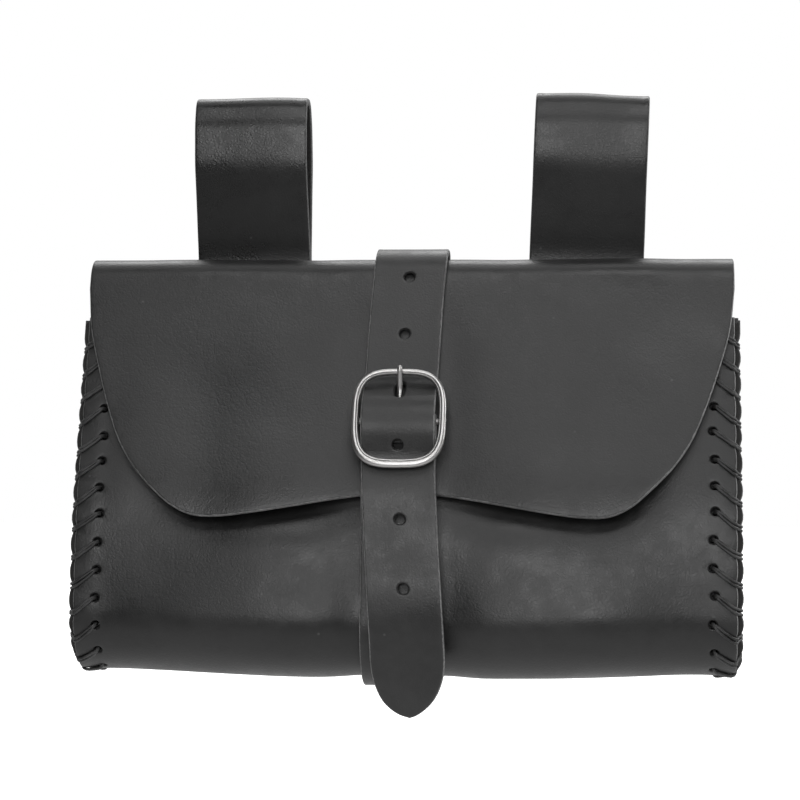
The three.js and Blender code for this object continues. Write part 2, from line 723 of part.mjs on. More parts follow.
function buckleStrap() {
  const body = bodyCorners(0);
  const foot = { y: body.heel.y, z: BOTTOM_Z + BUCKLE_STRAP_FOOT, round: 0 };
  const under = offsetCorners([body.mouth, body.belly, body.toe, body.heel, foot], strapOffset);
  const front = under.slice(1).reverse();
  const frontLine = roundedLine(under.slice(0, 3));
  const belly = [0.68, 0.77, 0.86].map((up) => atHeight(frontLine, mix(BOTTOM_Z, flapEdgeZ, up)));
  const lift = barOut - foldRadius;
  const corners = [
    { ...front[0], round: 0 },
    { ...front[1], steps: HEEL_STEPS, lead: 2 },
    { ...front[2], steps: TOE_STEPS, lead: BOTTOM_STEPS },
    ...belly.map(({ y, z }) => ({ y: y - GAP, z, round: 0, lead: 1 })),
    onFlap(edgeAlong + HALF_STRAP, layer, { round: 2.5 * STRAP_LEATHER, steps: 2 }),
    onFlap(1.1 * FOLD_END, layer, { round: FOLD_END, steps: 2, lead: 2 }),
    onFlap(0.31 * FOLD_END, lift, { round: 0.5 * FOLD_END, steps: 2 }),
    onFlap(-foldRadius, lift, { round: foldRadius - 0.02, steps: 4 }),
    onFlap(-foldRadius, barOut + foldRadius, { round: foldRadius - 0.02, steps: 4 }),
    onFlap(0.19 * FOLD_END, barOut + foldRadius, { round: 0.6 * FOLD_END, steps: 2 }),
    onFlap(FOLD_END, secondLayer - GAP, { round: 0, lead: 2 }),
  ];
  const pared = (point) => 1 - ramp(alongFlap(point), FOLD_END, 1.6 * FOLD_END);
  const thicknessAt = (point) => mix(STRAP_LEATHER, FOLD_LEATHER, pared(point));
  const geometry = strip(roundedLine(corners), STRAP_WIDTH, thicknessAt);
  const slotLength = 2 * (FOLD_END - GAP - HOLE_DIAMETER / 2);
  const slot = holeCutter({ ...onFlap(0, barOut), tangent: flapSlope }, BUCKLE_ASIDE, slotLength);
  return toGeometry(toSolid(geometry.translate(BUCKLE_ASIDE, 0, 0)).subtract(slot));
}

// Buckle frame: a rounded square with a bar across its middle, set back from the frame's plane

function buckleFrame() {
  const tilt = (bottomBarOut - topBarOut) / BUCKLE_HEIGHT;
  const vertices = [];
  for (let i = 0; i < FRAME_STEPS; i++) {
    const angle = (2 * Math.PI * i) / FRAME_STEPS;
    const low = (1 + Math.sin(angle)) / 2; // 0 at the top bar, 1 at the bottom bar
    const width = mix(FRAME_WIDTH_TOP, FRAME_WIDTH_BOTTOM, low);
    const power = 2 / BUCKLE_SQUARENESS;
    const reach = (value) => Math.sign(value) * Math.abs(value) ** power;
    const x = reach(Math.cos(angle)) * (BUCKLE_WIDTH - width) * 0.5;
    const along = reach(Math.sin(angle)) * (BUCKLE_HEIGHT - width) * 0.5;
    const out = (topBarOut + bottomBarOut) / 2 + tilt * along;
    const square = Math.abs(2 * along) / BUCKLE_HEIGHT - Math.abs(2 * x) / BUCKLE_WIDTH;
    const heading = new THREE.Vector2(
      Math.sign(x) * ramp(-square, -0.6, 0.6),
      Math.sign(along) * ramp(square, -0.6, 0.6),
    ).normalize();
    for (let k = 0; k < FRAME_SIDES; k++) {
      const turn = (2 * Math.PI * (k + 0.5)) / FRAME_SIDES;
      const aside = (Math.cos(turn) * width) / 2;
      const lift = (Math.sin(turn) * FRAME_THICKNESS) / 2;
      const { y, z } = onFlap(along + heading.y * aside, out + lift);
      vertices.push(new THREE.Vector3(x + heading.x * aside, y, z));
    }
  }
  const faces = [];
  const total = vertices.length;
  for (let i = 0; i < FRAME_STEPS; i++)
    for (let k = 0; k < FRAME_SIDES; k++) {
      const a = i * FRAME_SIDES + k;
      const b = i * FRAME_SIDES + ((k + 1) % FRAME_SIDES);
      const [c, d] = [(b + FRAME_SIDES) % total, (a + FRAME_SIDES) % total];
      faces.push([a, b, c], [a, c, d]);
    }
  const ring = toSolid(meshGeometry(vertices, faces));
  const { y, z } = onFlap(0, barOut);
  const length = BUCKLE_WIDTH - FRAME_WIDTH_TOP;
  const bar = new THREE.CylinderGeometry(BAR_DIAMETER / 2, BAR_DIAMETER / 2, length, 10)
    .rotateZ(Math.PI / 2)
    .translate(0, y, z);
  const lugOut = (topBarOut + bottomBarOut) / 2 - barOut;
  let frame = ring.add(toSolid(bar));
  for (const side of [-1, 1]) {
    const lug = new THREE.CylinderGeometry(BAR_DIAMETER / 2, BAR_DIAMETER / 2, lugOut, 10);
    const angle = Math.atan2(-flapSlope.y, flapSlope.z);
    const foot = onFlap(0, barOut + lugOut / 2);
    lug.rotateX(angle).translate((side * length) / 2, foot.y, foot.z);
    frame = frame.add(toSolid(lug));
  }
  return toGeometry(frame).translate(BUCKLE_ASIDE, 0, 0);
}

// Prong: a wire curled round the bar, through the strap and over the top of the frame

function prong() {
  const curl = BAR_DIAMETER / 2 + GAP + PRONG_DIAMETER / 2;
  const overFrame = topBarOut + FRAME_THICKNESS / 2 + GAP + PRONG_DIAMETER / 2;
  const turn = (angle) => {
    const at = onFlap(Math.sin(angle) * curl, barOut + Math.cos(angle) * curl);
    const way = direction(onFlap(0, 0), onFlap(Math.cos(angle), -Math.sin(angle)));
    return { y: at.y, z: at.z, tangent: { y: way.y, z: way.z } };
  };
  const [curlStart, curlEnd, curlSteps] = [-0.12 * Math.PI, 1.42 * Math.PI, 12];
  const points = [];
  for (let i = 0; i <= curlSteps; i++) points.push(turn(mix(curlStart, curlEnd, i / curlSteps)));
  const leave = points.at(-1);
  const overBar = barOut + BAR_DIAMETER / 2;
  const shaft = roundedLine([
    { y: leave.y, z: leave.z },
    onFlap(-0.25 * halfFrame, overBar, { round: 1.6 * PRONG_DIAMETER, steps: 2 }),
    onFlap(PRONG_HOLE_PLACE * halfFrame, overBar, { round: 4.2 * PRONG_DIAMETER, steps: 2 }),
    onFlap(-halfFrame + FRAME_WIDTH_TOP / 2, overFrame + GAP, { round: 2.6 * PRONG_DIAMETER, steps: 3 }),
    onFlap(-halfFrame - PRONG_REACH, overFrame),
  ]);
  points.push(...sampleLine(shaft).slice(1));
  const thinFrom = points.length - 6;
  const radii = points.map(
    (_, i) => mix(PRONG_DIAMETER, PRONG_TIP_DIAMETER, ramp(i, thinFrom, points.length - 1)) / 2,
  );
  return roundBar(points, radii, PRONG_SIDES).translate(BUCKLE_ASIDE, 0, 0);
}

// Materials

const leather = (color, roughness) => new THREE.MeshStandardMaterial({ color, roughness, metalness: 0 });
const panelLeather = leather(0x2b2b2c, 0.55);
const gussetLeather = leather(0x262627, 0.6);
const loopLeather = leather(0x2a2a2b, 0.55);
const strapLeather = leather(0x323233, 0.52);
const metal = new THREE.MeshStandardMaterial({ color: 0xa9a8a6, roughness: 0.32, metalness: 1 });

function piece(name, geometry, material) {
  const mesh = new THREE.Mesh(geometry, material);
  mesh.name = name;
  return mesh;
}

const pouch = new THREE.Group();
pouch.add(piece("body_panel", bodyPanel(), panelLeather));
pouch.add(piece("gusset_left", gusset(-1), gussetLeather));
pouch.add(piece("gusset_right", gusset(1), gussetLeather));
for (const { name, place, lean, drop } of LOOPS) {
  const holder = new THREE.Group();
  holder.position.set(place * HALF_WIDTH, 0, TOP_Z - drop);
  holder.rotation.y = THREE.MathUtils.degToRad(lean);
  const loop = piece(name, beltLoop(), loopLeather);
  loop.position.z = -TOP_Z;
  holder.add(loop);
  pouch.add(holder);
}
pouch.add(piece("closing_strap", closingStrap(), strapLeather));
pouch.add(piece("buckle_strap", buckleStrap(), strapLeather));
pouch.add(piece("buckle_frame", buckleFrame(), metal));
pouch.add(piece("buckle_prong", prong(), metal));

export default pouch;
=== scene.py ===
import bpy
import math
import numpy as np
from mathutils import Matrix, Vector, geometry, noise


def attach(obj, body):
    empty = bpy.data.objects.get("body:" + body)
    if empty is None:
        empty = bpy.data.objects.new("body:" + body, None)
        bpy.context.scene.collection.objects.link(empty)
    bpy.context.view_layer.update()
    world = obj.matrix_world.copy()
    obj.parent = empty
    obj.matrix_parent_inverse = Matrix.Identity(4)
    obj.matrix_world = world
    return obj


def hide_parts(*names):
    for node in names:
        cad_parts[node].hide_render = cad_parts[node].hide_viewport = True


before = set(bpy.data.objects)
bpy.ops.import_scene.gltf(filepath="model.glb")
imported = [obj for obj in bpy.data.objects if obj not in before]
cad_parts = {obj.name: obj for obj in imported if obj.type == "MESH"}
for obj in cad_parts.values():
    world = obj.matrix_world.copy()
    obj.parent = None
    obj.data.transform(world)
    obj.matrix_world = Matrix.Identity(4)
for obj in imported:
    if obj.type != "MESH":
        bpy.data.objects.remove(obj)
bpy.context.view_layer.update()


# Body panel: one long piece of waxed black leather, 2.4 mm thick, that makes the front, the bottom,
# the back and the two-lobed flap. It is cut from a flat pattern with its lacing holes punched, and
# folded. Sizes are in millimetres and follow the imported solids.

PANEL_LEATHER = 2.4
PANEL_WIDTH = 212.5
BODY_HEIGHT = 134.6
BODY_DEPTH = 50
FRONT_SWELL = 3.2
BOTTOM_SAG = 1.8
CHANNEL_DEPTH = 1.6
CHANNEL_FLAT = 31
CHANNEL_SLOPE = 34
FLAP_STANDOFF = 0.9
FLAP_LENGTH = 83.4
SEAM_MARGIN = 9
BACK_Y = -2.85
TOP_Z = -30.3
BOTTOM_Z = TOP_Z - BODY_HEIGHT
HALF_WIDTH = PANEL_WIDTH / 2
HALF_PANEL = PANEL_LEATHER / 2
SEAM_X = HALF_WIDTH - SEAM_MARGIN

# Corners of the panel's section, seen from the side. Rows: forward, up and round as shares of the
# body's depth, height and depth, then how much of the swell and of the sag the corner takes.
PANEL_CORNERS = {
    "mouth": (0.352, 0.855, 0, 0, 0),
    "belly": (0.81, 0.387, 2.4, 1, 0),
    "toe": (0.976, 0.009, 0.36, 0.7, 1),
    "heel": (0.024, 0.009, 0.28, 0, 1),
    "crest_back": (0.024, 0.991, 0.13, 0, 0),
}
CREST_FRONT_ROUND = 0.15
CORNER_SHARE = 0.499  # the most of a side that the arc of a corner takes up

# Flap outline. Sides: depth below the fold, left and right half widths. Bottom: across, depth.
FLAP_SIDE = np.array([
    (0.12, 1, 1),
    (0.285, 0.984, 0.984),
    (0.45, 0.949, 0.947),
    (0.6, 0.911, 0.905),
    (0.72, 0.872, 0.862),
    (0.815, 0.825, 0.81),
    (0.885, 0.775, 0.755),
])
FLAP_BOTTOM = np.array([
    (0, 0.905),
    (0.13, 0.912),
    (0.26, 0.929),
    (0.42, 0.956),
    (0.58, 0.982),
    (0.71, 0.998),
    (0.82, 0.995),
    (0.91, 0.957),
    (1, 0.885),
])


def mix(a, b, share):
    return a + (b - a) * share


def ramp(value, start, end):
    share = np.clip((value - start) / (end - start), 0, 1)
    return share * share * (3 - 2 * share)


def read_table(rows, column, value):
    """A smooth curve through a table's rows, read at a value of its rising first column."""
    keys, values = rows[:, 0], rows[:, column]
    low = np.maximum(np.arange(len(keys)) - 1, 0)
    high = np.minimum(np.arange(len(keys)) + 1, len(keys) - 1)
    slopes = (values[high] - values[low]) / (keys[high] - keys[low])
    i = int(np.clip(np.searchsorted(keys, value) - 1, 0, len(keys) - 2))
    span = keys[i + 1] - keys[i]
    t = min(1.0, max(0.0, (value - keys[i]) / span))
    t2, t3 = t * t, t * t * t
    return (
        (2 * t3 - 3 * t2 + 1) * values[i]
        + (t3 - 2 * t2 + t) * span * slopes[i]
        + (3 * t2 - 2 * t3) * values[i + 1]
        + (t3 - t2) * span * slopes[i + 1]
    )


class Straight:
    def __init__(self, start, end):
        self.start, self.end = start, end
        self.length = math.dist(start, end)
        self.tangent = ((end[0] - start[0]) / self.length, (end[1] - start[1]) / self.length)

    def at(self, t):
        (y0, z0), (y1, z1) = self.start, self.end
        return y0 + (y1 - y0) * t, z0 + (z1 - z0) * t, *self.tangent


class Arc:
    """The arc that rounds a corner between its two neighbours."""

    def __init__(self, before, corner, after):
        come = math.atan2(corner[1] - before[1], corner[0] - before[0])
        go = math.atan2(after[1] - corner[1], after[0] - corner[0])
        self.turn = (go - come + math.pi) % (2 * math.pi) - math.pi
        lean = abs(math.tan(self.turn / 2))
        sides = math.dist(before[:2], corner[:2]), math.dist(corner[:2], after[:2])
        room = CORNER_SHARE * min(sides)
        self.round = min(corner[2], room / lean)
        cut = self.round * lean
        self.come, self.side = come, math.copysign(1, self.turn)
        self.start = (corner[0] - math.cos(come) * cut, corner[1] - math.sin(come) * cut)
        self.end = (corner[0] + math.cos(go) * cut, corner[1] + math.sin(go) * cut)
        reach = self.round * self.side
        y, z = self.start
        self.centre = (y - math.sin(come) * reach, z + math.cos(come) * reach)
        self.length = self.round * abs(self.turn)

    def at(self, t):
        angle = self.come + self.turn * t
        reach = self.round * self.side
        y = self.centre[0] + math.sin(angle) * reach
        z = self.centre[1] - math.cos(angle) * reach
        return y, z, math.cos(angle), math.sin(angle)


def rounded_line(corners):
    """A line through corners (y, z, round), as straight pieces and arcs in turn."""
    pieces = []
    start = corners[0][:2]
    for before, corner, after in zip(corners, corners[1:], corners[2:]):
        arc = Arc(before, corner, after)
        pieces += [Straight(start, arc.start), arc]
        start = arc.end
    pieces.append(Straight(start, corners[-1][:2]))
    return pieces


def offset_corners(corners, offset):
    """The same corners moved sideways: outwards is to the right of the way the line runs."""
    moved = []
    last = len(corners) - 1
    for i, (y, z, rounding) in enumerate(corners):
        a, b = corners[max(0, i - 1)], corners[max(1, i)]
        c, d = corners[min(i, last - 1)], corners[min(i + 1, last)]
        come = np.array([b[0] - a[0], b[1] - a[1]]) / math.dist(a[:2], b[:2])
        go = np.array([d[0] - c[0], d[1] - c[1]]) / math.dist(c[:2], d[:2])
        turn = come[0] * go[1] - come[1] * go[0]
        half = come + go
        size = math.hypot(*half)
        reach = offset / (size / 2)
        grown = rounding + offset * np.sign(turn) if rounding else 0
        moved.append((y + half[1] / size * reach, z - half[0] / size * reach, grown))
    return moved


def along_line(pieces, travelled):
    """The point of a line at a distance along it, with the way it runs there: y, z, ty, tz."""
    for piece in pieces[:-1]:
        if travelled <= piece.length:
            return piece.at(max(0.0, travelled / piece.length))
        travelled -= piece.length
    return pieces[-1].at(min(1.0, travelled / pieces[-1].length))


def line_length(pieces):
    return sum(piece.length for piece in pieces)


def turning_value(low, high, steps, still):
    """The value between two bounds at which a test stops being true, by halving."""
    for _ in range(steps):
        middle = (low + high) / 2
        if still(middle):
            low = middle
        else:
            high = middle
    return (low + high) / 2


def at_height(pieces, z):
    """The point of a line that runs steadily down, at one height."""
    piece = next((p for p in pieces if p.at(1)[1] <= z), pieces[-1])
    return piece.at(turning_value(0.0, 1.0, 30, lambda t: piece.at(t)[1] > z))


def fullness(x):
    """How much of the swell and sag a place across has: all in the middle, none at the seams."""
    off = max(0.0, abs(x) - CHANNEL_FLAT / 2) / (SEAM_X - CHANNEL_FLAT / 2)
    return (1 - off * off) ** 2 if off < 1 else 0.0


def channel(x):
    """How far the strap's channel is pressed into the front at a place across."""
    return CHANNEL_DEPTH * (1 - ramp(abs(x), CHANNEL_FLAT / 2, CHANNEL_FLAT / 2 + CHANNEL_SLOPE))


def body_corners(x):
    """The corners (y, z, round) of the panel's section at a place across, up to the fold."""
    full, pressed = fullness(x), channel(x)
    return {
        name: (
            BACK_Y - forward * BODY_DEPTH - swell * (FRONT_SWELL * full - pressed),
            BOTTOM_Z + up * BODY_HEIGHT - sag * BOTTOM_SAG * full,
            rounding * BODY_DEPTH,
        )
        for name, (forward, up, rounding, swell, sag) in PANEL_CORNERS.items()
    }


def flap_corners(x):
    """The section's corners from the fold on: the flap lies over the front, a little off it."""
    body = body_corners(x)
    top, middle, end = offset_corners(
        [body["mouth"], body["belly"], body["toe"]], PANEL_LEATHER + FLAP_STANDOFF
    )
    crest_z = body["crest_back"][1]
    share = (crest_z - top[1]) / (middle[1] - top[1])
    crest_front = (mix(top[0], middle[0], share), crest_z, CREST_FRONT_ROUND * BODY_DEPTH)
    return [crest_front, middle, end]


panel_lines = {}
FLAP_START = 10  # the line's first piece after the arc at the front of the fold


def panel_line(x):
    """The whole section's line at a place across. It is made once for each place."""
    key = round(abs(x), 2)
    if key not in panel_lines:
        panel_lines[key] = rounded_line([*body_corners(key).values(), *flap_corners(key)])
    return panel_lines[key]


# The pattern is measured along the line at the seams, from the mouth to the end of the flap.
seam_panel = panel_line(HALF_WIDTH)
piece_starts = np.concatenate([[0], np.cumsum([piece.length for piece in seam_panel])])
flap_from = piece_starts[FLAP_START]


def pattern_of_height(z):
    """How far along the pattern the flap is at a height."""
    return turning_value(
        flap_from, piece_starts[-1], 40, lambda along: along_line(seam_panel, along)[1] > z
    )


# Lacing holes: on the left and right margins, from the mouth down the front, under and up the back.
LACE_HOLE = 2.7
LACE_INSET = 7.4  # hole's middle, inside the panel's edge
LACE_PITCH = 8.85
LACE_FIRST = {-1: 5.6, 1: 3.9}
LACE_END = 3  # the least room that is left above the last hole
LACE_SLANT = 4.9  # how far down a stitch reaches the edge
STRAY_ALONG, STRAY_ACROSS = 0.35, 0.5  # how far a hole is off its place

body = body_corners(HALF_WIDTH)
seam_corners = [body["mouth"], body["belly"], body["toe"], body["heel"]]
seam_corners.append((body["heel"][0], body["mouth"][1], 0))
seam_line = rounded_line(seam_corners)
seam_length = line_length(seam_line)
hand = np.random.default_rng(11)
lace_places = {}
for side in (-1, 1):
    count = int((seam_length - LACE_FIRST[side] - LACE_END) / LACE_PITCH)
    places = LACE_FIRST[side] + LACE_PITCH * np.arange(count + 1)
    lace_places[side] = [
        (
            float(at + hand.uniform(-STRAY_ALONG, STRAY_ALONG)),
            float(LACE_INSET + hand.uniform(-STRAY_ACROSS, STRAY_ACROSS)),
        )
        for at in places
    ]


def bell(value, middle, reach):
    """1 at the middle, falling smoothly to about a third at the reach and to 0 beyond it."""
    return math.exp(-(((value - middle) / reach) ** 2))


def pull(side, travelled, reach=1.7):
    """How strongly the nearest stitch pulls at the edge: 1 under the thread, 0 between threads."""
    return bell(min(abs(travelled - at - LACE_SLANT) for at, _ in lace_places[side]), 0, reach)


WAVE_SEED = 2.0
BACK_SHIFT = 300  # gives the back other waves than the front
WIDE_WAVE, CLOSE_WAVE = 0.42, 0.12
WAVE_FROM, WAVE_FULL = 16, 34  # from the middle: the leather lies still under the strap


def unevenness(x, z):
    """The slight waves of a leather that is carried and filled, in millimetres."""
    wide = noise.noise(Vector((x * 0.022, z * 0.03, WAVE_SEED)))
    close = noise.noise(Vector((x * 0.06, z * 0.075, WAVE_SEED + 5)))
    return WIDE_WAVE * wide + CLOSE_WAVE * close


DIP_DEPTH = 0.7  # how far both edges of the strap press the leather in
DIP_ACROSS, DIP_REACH = 13, 8


def strap_dip(across):
    return DIP_DEPTH * bell(abs(across), DIP_ACROSS, DIP_REACH)


# The front sinks in behind the flap's edge and bulges below it: heights are shares of the body's.
HOLLOW_DEPTH, HOLLOW_UP, HOLLOW_REACH = 4.6, 0.45, 0.1
BULGE_OUT, BULGE_UP, BULGE_REACH = 2.0, 0.14, 0.095
# The flap stands off further towards its lower edge, and more at its free sides.
FLAP_LIFT, FLAP_SIDE_LIFT = 1.3, 1.4
# A tight stitch pulls the panel's edge in and down, and the margin rises a little inside it.
EDGE_IN, EDGE_DOWN, MARGIN_RISE = 0.45, 0.3, 0.12
EDGE_WIDTH = 4.5
FRONT_PIECES = 6  # pieces of the line that make the front and the bottom, up to the back


def panel_place(across, along):
    """Where a point of the panel's flat pattern lies on the folded pouch."""
    side = -1 if across < 0 else 1
    line = panel_line(across)
    margin = max(0.0, abs(across) - SEAM_X)
    if along < flap_from:
        i = np.searchsorted(piece_starts, along, side="right") - 1
        i = int(np.clip(i, 0, FLAP_START - 1))
        y, z, ty, tz = line[i].at((along - piece_starts[i]) / seam_panel[i].length)
        lift = 0.0
        x = across
        if margin and along < seam_length:
            tight = pull(side, along)
            edge = ramp(margin, SEAM_MARGIN - EDGE_WIDTH, SEAM_MARGIN)
            x -= side * EDGE_IN * tight * edge
            lift = -EDGE_DOWN * tight * edge + MARGIN_RISE * (1 - edge) * ramp(margin, 0, 3)
        calm = float(ramp(along, 0, 12) * ramp(SEAM_X + 6 - abs(across), 0, 25))
        if i < FRONT_PIECES:
            up = (z - BOTTOM_Z) / BODY_HEIGHT
            front = float(ramp(BACK_Y - y, 0.36 * BODY_DEPTH, 0.62 * BODY_DEPTH))
            from_edge = HALF_WIDTH - abs(across)
            free = front * float(ramp(from_edge, 9, 42))
            off_strap = float(ramp(abs(across), 10, 32))
            recess = front * float(ramp(from_edge, 12, 48)) * (0.3 + 0.7 * off_strap)
            lift -= HOLLOW_DEPTH * bell(up, HOLLOW_UP, HOLLOW_REACH) * recess
            lift += BULGE_OUT * bell(up, BULGE_UP, BULGE_REACH) * free * off_strap
            lift -= front * strap_dip(across)
        wave = unevenness(x, z if i < FRONT_PIECES else z + BACK_SHIFT)
        lift += calm * wave * ramp(abs(x), WAVE_FROM, WAVE_FULL)
        return x, y + tz * lift, z - ty * lift
    z = along_line(seam_panel, along)[1]
    settle = 1 - ramp(along - flap_from, 0, 15)
    z += (line[FLAP_START].start[1] - seam_panel[FLAP_START].start[1]) * settle
    y, z, ty, tz = at_height(line[FLAP_START:], z)
    below = (TOP_Z - z) / FLAP_LENGTH
    wave = unevenness(across, z) * ramp(abs(across), WAVE_FROM, WAVE_FULL) * ramp(below, 0.12, 0.3)
    wave += FLAP_LIFT * ramp(below, 0.5, 1.0) * ramp(abs(across), 20, 60)
    wave += FLAP_SIDE_LIFT * ramp(below, 0.2, 0.6) * ramp(abs(across), 60, 90)
    wave -= strap_dip(across) * ramp(below, 0.1, 0.4)
    return across, y + tz * wave, z - ty * wave


def smooth_loop(points, step):
    """A closed outline, sampled evenly."""
    points = np.array(points, float)
    closed = np.vstack([points, points[:1]])
    lengths = np.hypot(*np.diff(closed, axis=0).T)
    samples = []
    for start, end, length in zip(closed[:-1], closed[1:], lengths):
        count = max(1, int(round(length / step)))
        samples += [start + (end - start) * k / count for k in range(count)]
    return np.array(samples)


def ring_of(centre, size, length=None, sides=18):
    """A punched hole's outline: round, or drawn out along the leather."""
    half = ((length or size) - size) / 2
    angles = 2 * math.pi * np.arange(sides) / sides + math.pi / sides
    ring = np.stack([np.cos(angles), np.sin(angles)], 1) * size / 2
    ring[:, 1] += np.sign(ring[:, 1]) * half
    return ring + np.array(centre)


def distance_to(points, outlines):
    """Distance of each point from the nearest of some closed outlines."""
    nearest = np.full(len(points), 1e9)
    for outline in outlines:
        start, end = outline, np.roll(outline, -1, axis=0)
        way = end - start
        size = np.maximum((way**2).sum(1), 1e-12)
        low, high = outline.min(0) - 6, outline.max(0) + 6
        close = np.where(((points > low) & (points < high)).all(1))[0]
        for part in np.array_split(close, max(1, len(close) // 2000)):
            gap = points[part][:, None] - start[None]
            t = np.clip((gap * way[None]).sum(2) / size[None], 0, 1)
            reach = np.hypot(*np.moveaxis(gap - way[None] * t[..., None], 2, 0)).min(1)
            nearest[part] = np.minimum(nearest[part], reach)
    return nearest


def inside(points, outline):
    """Which points a closed outline holds."""
    x, y = points[:, 0], points[:, 1]
    held = np.zeros(len(points), bool)
    for (x0, y0), (x1, y1) in zip(outline, np.roll(outline, -1, axis=0)):
        crosses = (y0 > y) != (y1 > y)
        if y0 != y1:
            held ^= crosses & (x < (x1 - x0) * (y - y0) / (y1 - y0) + x0)
    return held


EDGE_RINGS = (0.12, 0.3, 0.6, 1.1, 1.9)  # how far in each ring of points beside a cut is
RING_ROOM = 0.93  # points of a ring nearer to another cut than this share are left out
LATTICE_ROOM = 0.8
LATTICE_STRAY = 0.04


def cut_pattern(outline, holes, columns, rows):
    """Triangles of a flat pattern: a lattice inside, and close rings along every cut edge."""
    loops = [outline, *holes]
    points, edges = [], []
    for loop in loops:
        first = len(points)
        points += loop.tolist()
        edges += [(first + k, first + (k + 1) % len(loop)) for k in range(len(loop))]
    extra = []
    for number, loop in enumerate(loops):
        way = np.roll(loop, -1, axis=0) - np.roll(loop, 1, axis=0)
        normal = np.stack([-way[:, 1], way[:, 0]], 1) / np.hypot(*way.T)[:, None]
        if inside(loop[:1] + normal[:1] * 0.05, loop)[0] == (number > 0):
            normal = -normal
        for k, reach in enumerate(EDGE_RINGS):
            ring = loop + normal * reach
            ring = ring[:: 2 if k > 2 else 1]
            extra.append(ring[distance_to(ring, loops) > RING_ROOM * reach])
    lattice = np.array([(x, s) for x in columns for s in rows])
    lattice += np.random.default_rng(5).uniform(-LATTICE_STRAY, LATTICE_STRAY, lattice.shape)
    extra.append(lattice[distance_to(lattice, loops) > EDGE_RINGS[-1] + LATTICE_ROOM])
    extra = np.vstack(extra)
    extra = extra[inside(extra, outline)]
    for hole in holes:
        extra = extra[~inside(extra, hole)]
    points = np.vstack([np.array(points), extra])
    made = geometry.delaunay_2d_cdt([Vector(p) for p in points], edges, [], 0, 1e-5)
    flat = np.array([tuple(p) for p in made[0]])
    triangles = np.array(made[2])
    middles = flat[triangles].mean(1)
    keep = inside(middles, outline)
    for hole in holes:
        keep &= ~inside(middles, hole)
    triangles = triangles[keep]
    corners = flat[triangles]
    first, second = corners[:, 1] - corners[:, 0], corners[:, 2] - corners[:, 0]
    area = first[:, 0] * second[:, 1] - first[:, 1] * second[:, 0]
    triangles[area < 0] = triangles[area < 0][:, ::-1]
    triangles = triangles[abs(area) > 1e-7]
    used = np.unique(triangles)
    renumber = np.full(len(flat), -1)
    renumber[used] = np.arange(len(used))
    flat = flat[used]
    return flat, renumber[triangles], distance_to(flat, loops)


def point_normals(points, triangles):
    a, b, c = (points[triangles[:, k]] for k in range(3))
    faces = np.cross(b - a, c - a)
    normals = np.zeros_like(points)
    for k in range(3):
        np.add.at(normals, triangles[:, k], faces)
    return normals / np.maximum(np.linalg.norm(normals, axis=1), 1e-12)[:, None]


def add_mesh(name, points, faces, material, masks=None, smooth=True):
    """A mesh object from points in millimetres, with its point masks for the material."""
    mesh = bpy.data.meshes.new(name)
    mesh.from_pydata((np.asarray(points) * 0.001).tolist(), [], [list(map(int, f)) for f in faces])
    for mask, values in (masks or {}).items():
        attribute = mesh.attributes.new(mask, "FLOAT", "POINT")
        attribute.data.foreach_set("value", np.asarray(values, np.float32))
    mesh.validate()
    if smooth:
        mesh.shade_smooth()
    mesh.materials.append(material)
    made = bpy.data.objects.new(name, mesh)
    bpy.context.scene.collection.objects.link(made)
    return made


LIP_ROUND = 0.5
WALL_SWELL = 0.12  # how far the raw wall stands out in its middle
WALL_STEPS = (0.5, 0, -0.5)
RAW_REACH, NEAR_REACH = 0.42, 3.2  # how far in from a cut its raw and its rubbed look go
HOLE_SHADE_SHARE = 0.8  # how far the raw grey is darkened in and beside a punched hole: painted shade in the hole
